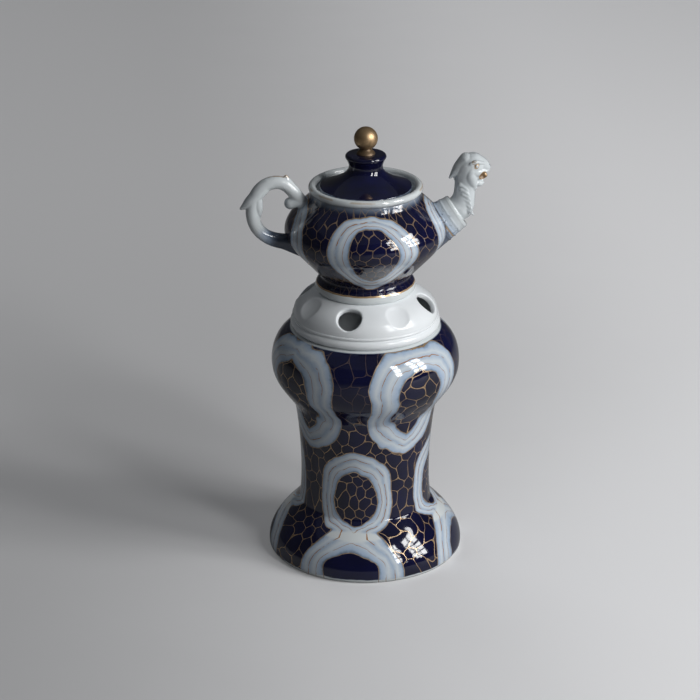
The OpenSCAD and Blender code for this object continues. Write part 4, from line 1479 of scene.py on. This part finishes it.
class WARMER_OT_knob(bpy.types.Operator):
    """Gilt ball on its neck"""

    bl_idname = "warmer.knob"
    bl_label = "Knob"

    def execute(self, context):
        sizes, glaze = context.scene.warmer_lid, context.scene.warmer_glaze
        radius = sizes.ball_radius / MM
        centre = top_of("knob") - radius
        neck = bezier([(5.6, 0), (5.4, 1.6), (3.4, 2.2), (3.3, 3.6)], 12) + (0, LID_TOP)
        start = math.degrees(math.asin((KNOB_NECK - centre) / radius))
        path = np.vstack([KNOB_PEG, neck, arc((0, centre), radius, start, 90, 40)])
        piece = throw("knob_gilt", soften(path, 0.3, closed=False), 96)
        settle(piece, "lid", ["knob"], "gilding", gilding_paint(glaze, KNOB_NECK))
        return {"FINISHED"}


# Burner

CUP_RADIUS = 20
CUP_LIP = 1.2
FLOAT_RADIUS = 12.8
PLATE_RADIUS = 8.8
WICK_BORE = 1.7
WICK_PLAY = 0.2
WICK_CHARRED = 3.2
TUBE_WALL = 0.6
PLATE_THICKNESS = 0.8
TWIST_RADIUS, TWIST_TURNS = 0.92, 2.2
STRAND_RADIUS = 0.56
STRAP_WIDTH = 6
STRAP_FILLET = 1.2
LOOP_SWEEP = math.radians(150)
LOOP_OUT = 4


class WARMER_OT_burner(bpy.types.Operator):
    """Oil cup with its ring handle"""

    bl_idname = "warmer.burner"
    bl_label = "Burner"

    def execute(self, context):
        sizes, glaze = context.scene.warmer_burner, context.scene.warmer_glaze
        turn = context.scene.warmer_stand.turn
        white = white_paint(glaze)
        low, high = foot_of("burner_cup"), top_of("burner_cup")
        wall = sizes.wall / MM
        waist = CUP_RADIUS - CUP_LIP
        hollow, bottom = waist - wall, low + wall
        path = [
            (0, low), (waist - 2, low), (waist, low + 2), (waist, high - 3), (CUP_RADIUS, high - 1.5),
            (CUP_RADIUS, high), (CUP_RADIUS - wall, high), (hollow, high - 3), (hollow, bottom + 2),
            (hollow - 2, bottom), (0, bottom),
        ]
        cup = throw("oil_cup", soften(path, 0.9, closed=False), 128)
        settle(cup, "burner", ["burner_cup"], "white_glaze", white)
        self.loop(sizes, white, turn, low + (high - low) / 2 - 1)
        return {"FINISHED"}

    def loop(self, sizes, white, turn, height):
        """A strap bent round into a ring that starts and ends in the cup's wall."""
        loop = blank("cup_loop")
        tree = Grower("loop_strap")
        radius = tree.size("Radius", "Float", sizes.loop_radius - sizes.loop_thickness / 2)
        thick = tree.size("Thickness", "Float", sizes.loop_thickness)
        hoop = tree.add("GeometryNodeCurveArc", {
            "Resolution": 48, "Radius": radius, "Start Angle": -LOOP_SWEEP, "Sweep Angle": 2 * LOOP_SWEEP,
        })
        sides = {"Width": thick, "Height": STRAP_WIDTH * MM}
        strap = tree.add("GeometryNodeCurvePrimitiveQuadrilateral", sides)
        corners = {"Curve": strap, "Count": 5, "Radius": STRAP_FILLET * MM}
        soft = tree.add("GeometryNodeFilletCurve", corners, mode="POLY")
        ring = tree.add("GeometryNodeCurveToMesh", {"Curve": hoop, "Profile Curve": soft, "Fill Caps": True})
        reach = (CUP_RADIUS + LOOP_OUT) * MM
        upright = tree.turned(math.pi / 2)
        stood = tree.add("GeometryNodeTransform", {"Geometry": ring, "Rotation": upright})
        placed = tree.add("GeometryNodeTransform", {
            "Geometry": stood, "Rotation": tree.turned(z=math.pi / 2 + turn),
            "Translation": (-math.sin(turn) * reach, math.cos(turn) * reach, height * MM),
        })
        tree.grow(loop, placed, white)
        face_outwards(loop.data)
        settle(loop, "burner", ["burner_handle"], "white_glaze", white)


class WARMER_OT_wick(bpy.types.Operator):
    """Cork float with its tin plate and cotton wick"""

    bl_idname = "warmer.wick"
    bl_label = "Wick"

    def execute(self, context):
        sizes = context.scene.warmer_burner
        low, high = foot_of("wick_float"), top_of("wick_float")
        bore = WICK_BORE + WICK_PLAY
        cork = soften([(bore, low), (FLOAT_RADIUS, low), (FLOAT_RADIUS, high), (bore, high)], 0.7)
        piece = throw("cork_float", np.vstack([cork, cork[:1]]), 96)
        settle(piece, "float", ["wick_float"], "cork", cork_paint())
        tube, top, sheet = WICK_BORE + TUBE_WALL, top_of("wick_plate"), high + PLATE_THICKNESS
        tin = soften([
            (WICK_BORE, high), (PLATE_RADIUS, high), (PLATE_RADIUS, sheet), (tube, sheet), (tube, top),
            (WICK_BORE, top),
        ], 0.25)
        piece = throw("tin_plate", np.vstack([tin, tin[:1]]), 96)
        settle(piece, "float", ["wick_plate"], "tin", tin_paint())
        self.cord(sizes, foot_of("wick"), top_of("wick"))
        return {"FINISHED"}

    def cord(self, sizes, low, high):
        """Strands twisted into one cord."""
        cord = blank("cotton_wick")
        cotton = cotton_paint(high - WICK_CHARRED)
        tree = Grower("wick_strands")
        count = tree.size("Strands", "Int", sizes.plait)
        twist = tree.size("Twist", "Float", TWIST_RADIUS * MM)
        strand = tree.size("Strand", "Float", STRAND_RADIUS * MM)
        spiral = tree.add("GeometryNodeCurveSpiral", {
            "Resolution": 24, "Rotations": TWIST_TURNS, "Start Radius": twist, "End Radius": twist,
            "Height": (high - low - 0.4) * MM,
        })
        tube = tree.add("GeometryNodeCurveToMesh", {
            "Curve": spiral, "Fill Caps": True, "Profile Curve": tree.circle(12, strand),
        })
        at = (0, 0, (low + 0.2) * MM)
        strands = tree.copies(tube, tree.all_round(count), count, at)
        tree.grow(cord, strands, cotton)
        face_outwards(cord.data)
        settle(cord, "float", ["wick"], "cotton", cotton)


# Stage

# Width of a pane, panes across and up, place, and whether the glaze mirrors the light
LAMPS = {
    "window": (0.21, (2, 3), (1.24, -0.6, 0.8), True),
    "door": (0.2, (1, 3), (0.78, -1.1, 0.85), True),
    "rear": (0.4, (2, 1), (-0.6, 1.5, 1.1), False),
}
PANE_TALL = 1.25
PANE_STEP = 1.28
TABLE_RADIUS, TABLE_BEND, WALL_TOP = 3200, 1400, 4000
AIM = Vector((0, 0, 0.14))
SKY_TINT = (0.86, 0.92, 1.0, 1)


class WARMER_OT_stage(bpy.types.Operator):
    """Table, backdrop, window light and camera"""

    bl_idname = "warmer.stage"
    bl_label = "Stage"

    def execute(self, context):
        stage = context.scene.warmer_stage
        scene = context.scene
        scene.view_settings.view_transform = "Standard"
        self.sheet(stage)
        for name, lamp in LAMPS.items():
            self.window(name, getattr(stage, name), *lamp)
        self.room(stage)
        data = bpy.data.cameras.new("camera")
        data.lens = stage.lens
        camera = bpy.data.objects.new("camera", data)
        scene.collection.objects.link(camera)
        c, s = math.cos(stage.bearing), math.sin(stage.bearing)
        camera.location = (
            -s * stage.distance - c * stage.aside, -c * stage.distance + s * stage.aside, stage.height
        )
        camera.rotation_euler = (math.pi / 2 - stage.pitch, 0, -stage.bearing)
        data.clip_end = 20
        scene.camera = camera
        return {"FINISHED"}

    def sheet(self, stage):
        """A round table that curves up into a backdrop on all sides."""
        rise = arc((TABLE_RADIUS, TABLE_BEND), TABLE_BEND, -90, 0, 24)
        top = (TABLE_RADIUS + TABLE_BEND, WALL_TOP)
        backdrop = throw("backdrop", np.vstack([[(0, 0)], rise, [top]]), 96)
        paint = Paint("backdrop_paper")
        grain = paint.noise(60, detail=3, seed=51.0)
        to_camera = paint.add("ShaderNodeLightPath", output="Is Camera Ray")
        near, far, kept = (dim(stage.floor, part) for part in (1, stage.painted_side_shade, stage.bounce))
        # Painted shade: the paper is painted darker to the left and towards the back, away from the window;
        # the camera's glow carries it too.
        behind = paint.fade(paint.y, -100, 300)
        side = paint.fade(paint.x - behind * 160 + grain * 6, -260, 160)
        seen = paint.mix(side, far, near)
        paper = paint.finish(paint.mix(to_camera, kept, seen), 0.8)
        plug(paint.tree, paint.shader.inputs["Emission Color"], seen)
        away = paint.fade(paint.y, -250, 800) + 0.5
        glow = paint.math("MULTIPLY", to_camera, away * stage.glow)
        plug(paint.tree, paint.shader.inputs["Emission Strength"], glow)
        backdrop.data.materials.append(paper)

    def window(self, name, power, size, panes, place, mirrored):
        """Lit panes with bars between them, which face the object."""
        turn = (AIM - Vector(place)).to_track_quat("-Z", "Y")
        columns, rows = panes
        for i in range(columns * rows):
            step = Vector((i % columns - (columns - 1) / 2, PANE_TALL * (i // columns - (rows - 1) / 2), 0))
            data = bpy.data.lights.new(name, "AREA")
            data.energy = power / (columns * rows)
            data.shape = "RECTANGLE"
            data.size = size
            data.size_y = size * PANE_TALL
            lamp = bpy.data.objects.new(name, data)
            lamp.location = Vector(place) + turn @ (step * size * PANE_STEP)
            lamp.rotation_euler = turn.to_euler()
            lamp.visible_glossy = mirrored
            bpy.context.scene.collection.objects.link(lamp)

    def room(self, stage):
        world = bpy.data.worlds.new("room")
        world.use_nodes = True
        ground = world.node_tree.nodes["Background"]
        ground.inputs["Color"].default_value = SKY_TINT
        ground.inputs["Strength"].default_value = stage.sky
        bpy.context.scene.world = world


class WARMER_PT_panel(bpy.types.Panel):
    """Buttons that make the pieces"""

    bl_idname = "WARMER_PT_panel"
    bl_label = "Teapot on a Warmer"
    bl_space_type = "VIEW_3D"
    bl_region_type = "UI"
    bl_category = "Warmer"

    def draw(self, context):
        for piece in PIECES:
            self.layout.operator(piece.bl_idname)


SETTINGS = {
    "warmer_stand": StandSizes,
    "warmer_collar": CollarSizes,
    "warmer_pot": PotSizes,
    "warmer_lid": LidSizes,
    "warmer_burner": BurnerSizes,
    "warmer_glaze": Glazes,
    "warmer_stage": StageSettings,
}
PIECES = (
    WARMER_OT_stand, WARMER_OT_collar, WARMER_OT_pot, WARMER_OT_spout, WARMER_OT_handle, WARMER_OT_lid,
    WARMER_OT_knob, WARMER_OT_burner, WARMER_OT_wick, WARMER_OT_stage,
)


def register():
    for kind in (*SETTINGS.values(), *PIECES, WARMER_PT_panel):
        bpy.utils.register_class(kind)
    for name, kind in SETTINGS.items():
        setattr(bpy.types.Scene, name, PointerProperty(type=kind))


def unregister():
    for name in SETTINGS:
        delattr(bpy.types.Scene, name)
    for kind in (WARMER_PT_panel, *reversed(PIECES), *SETTINGS.values()):
        bpy.utils.unregister_class(kind)


def main():
    register()
    for piece in PIECES:
        group, name = piece.bl_idname.split(".")
        getattr(getattr(bpy.ops, group), name)()


if __name__ == "__main__":
    main()
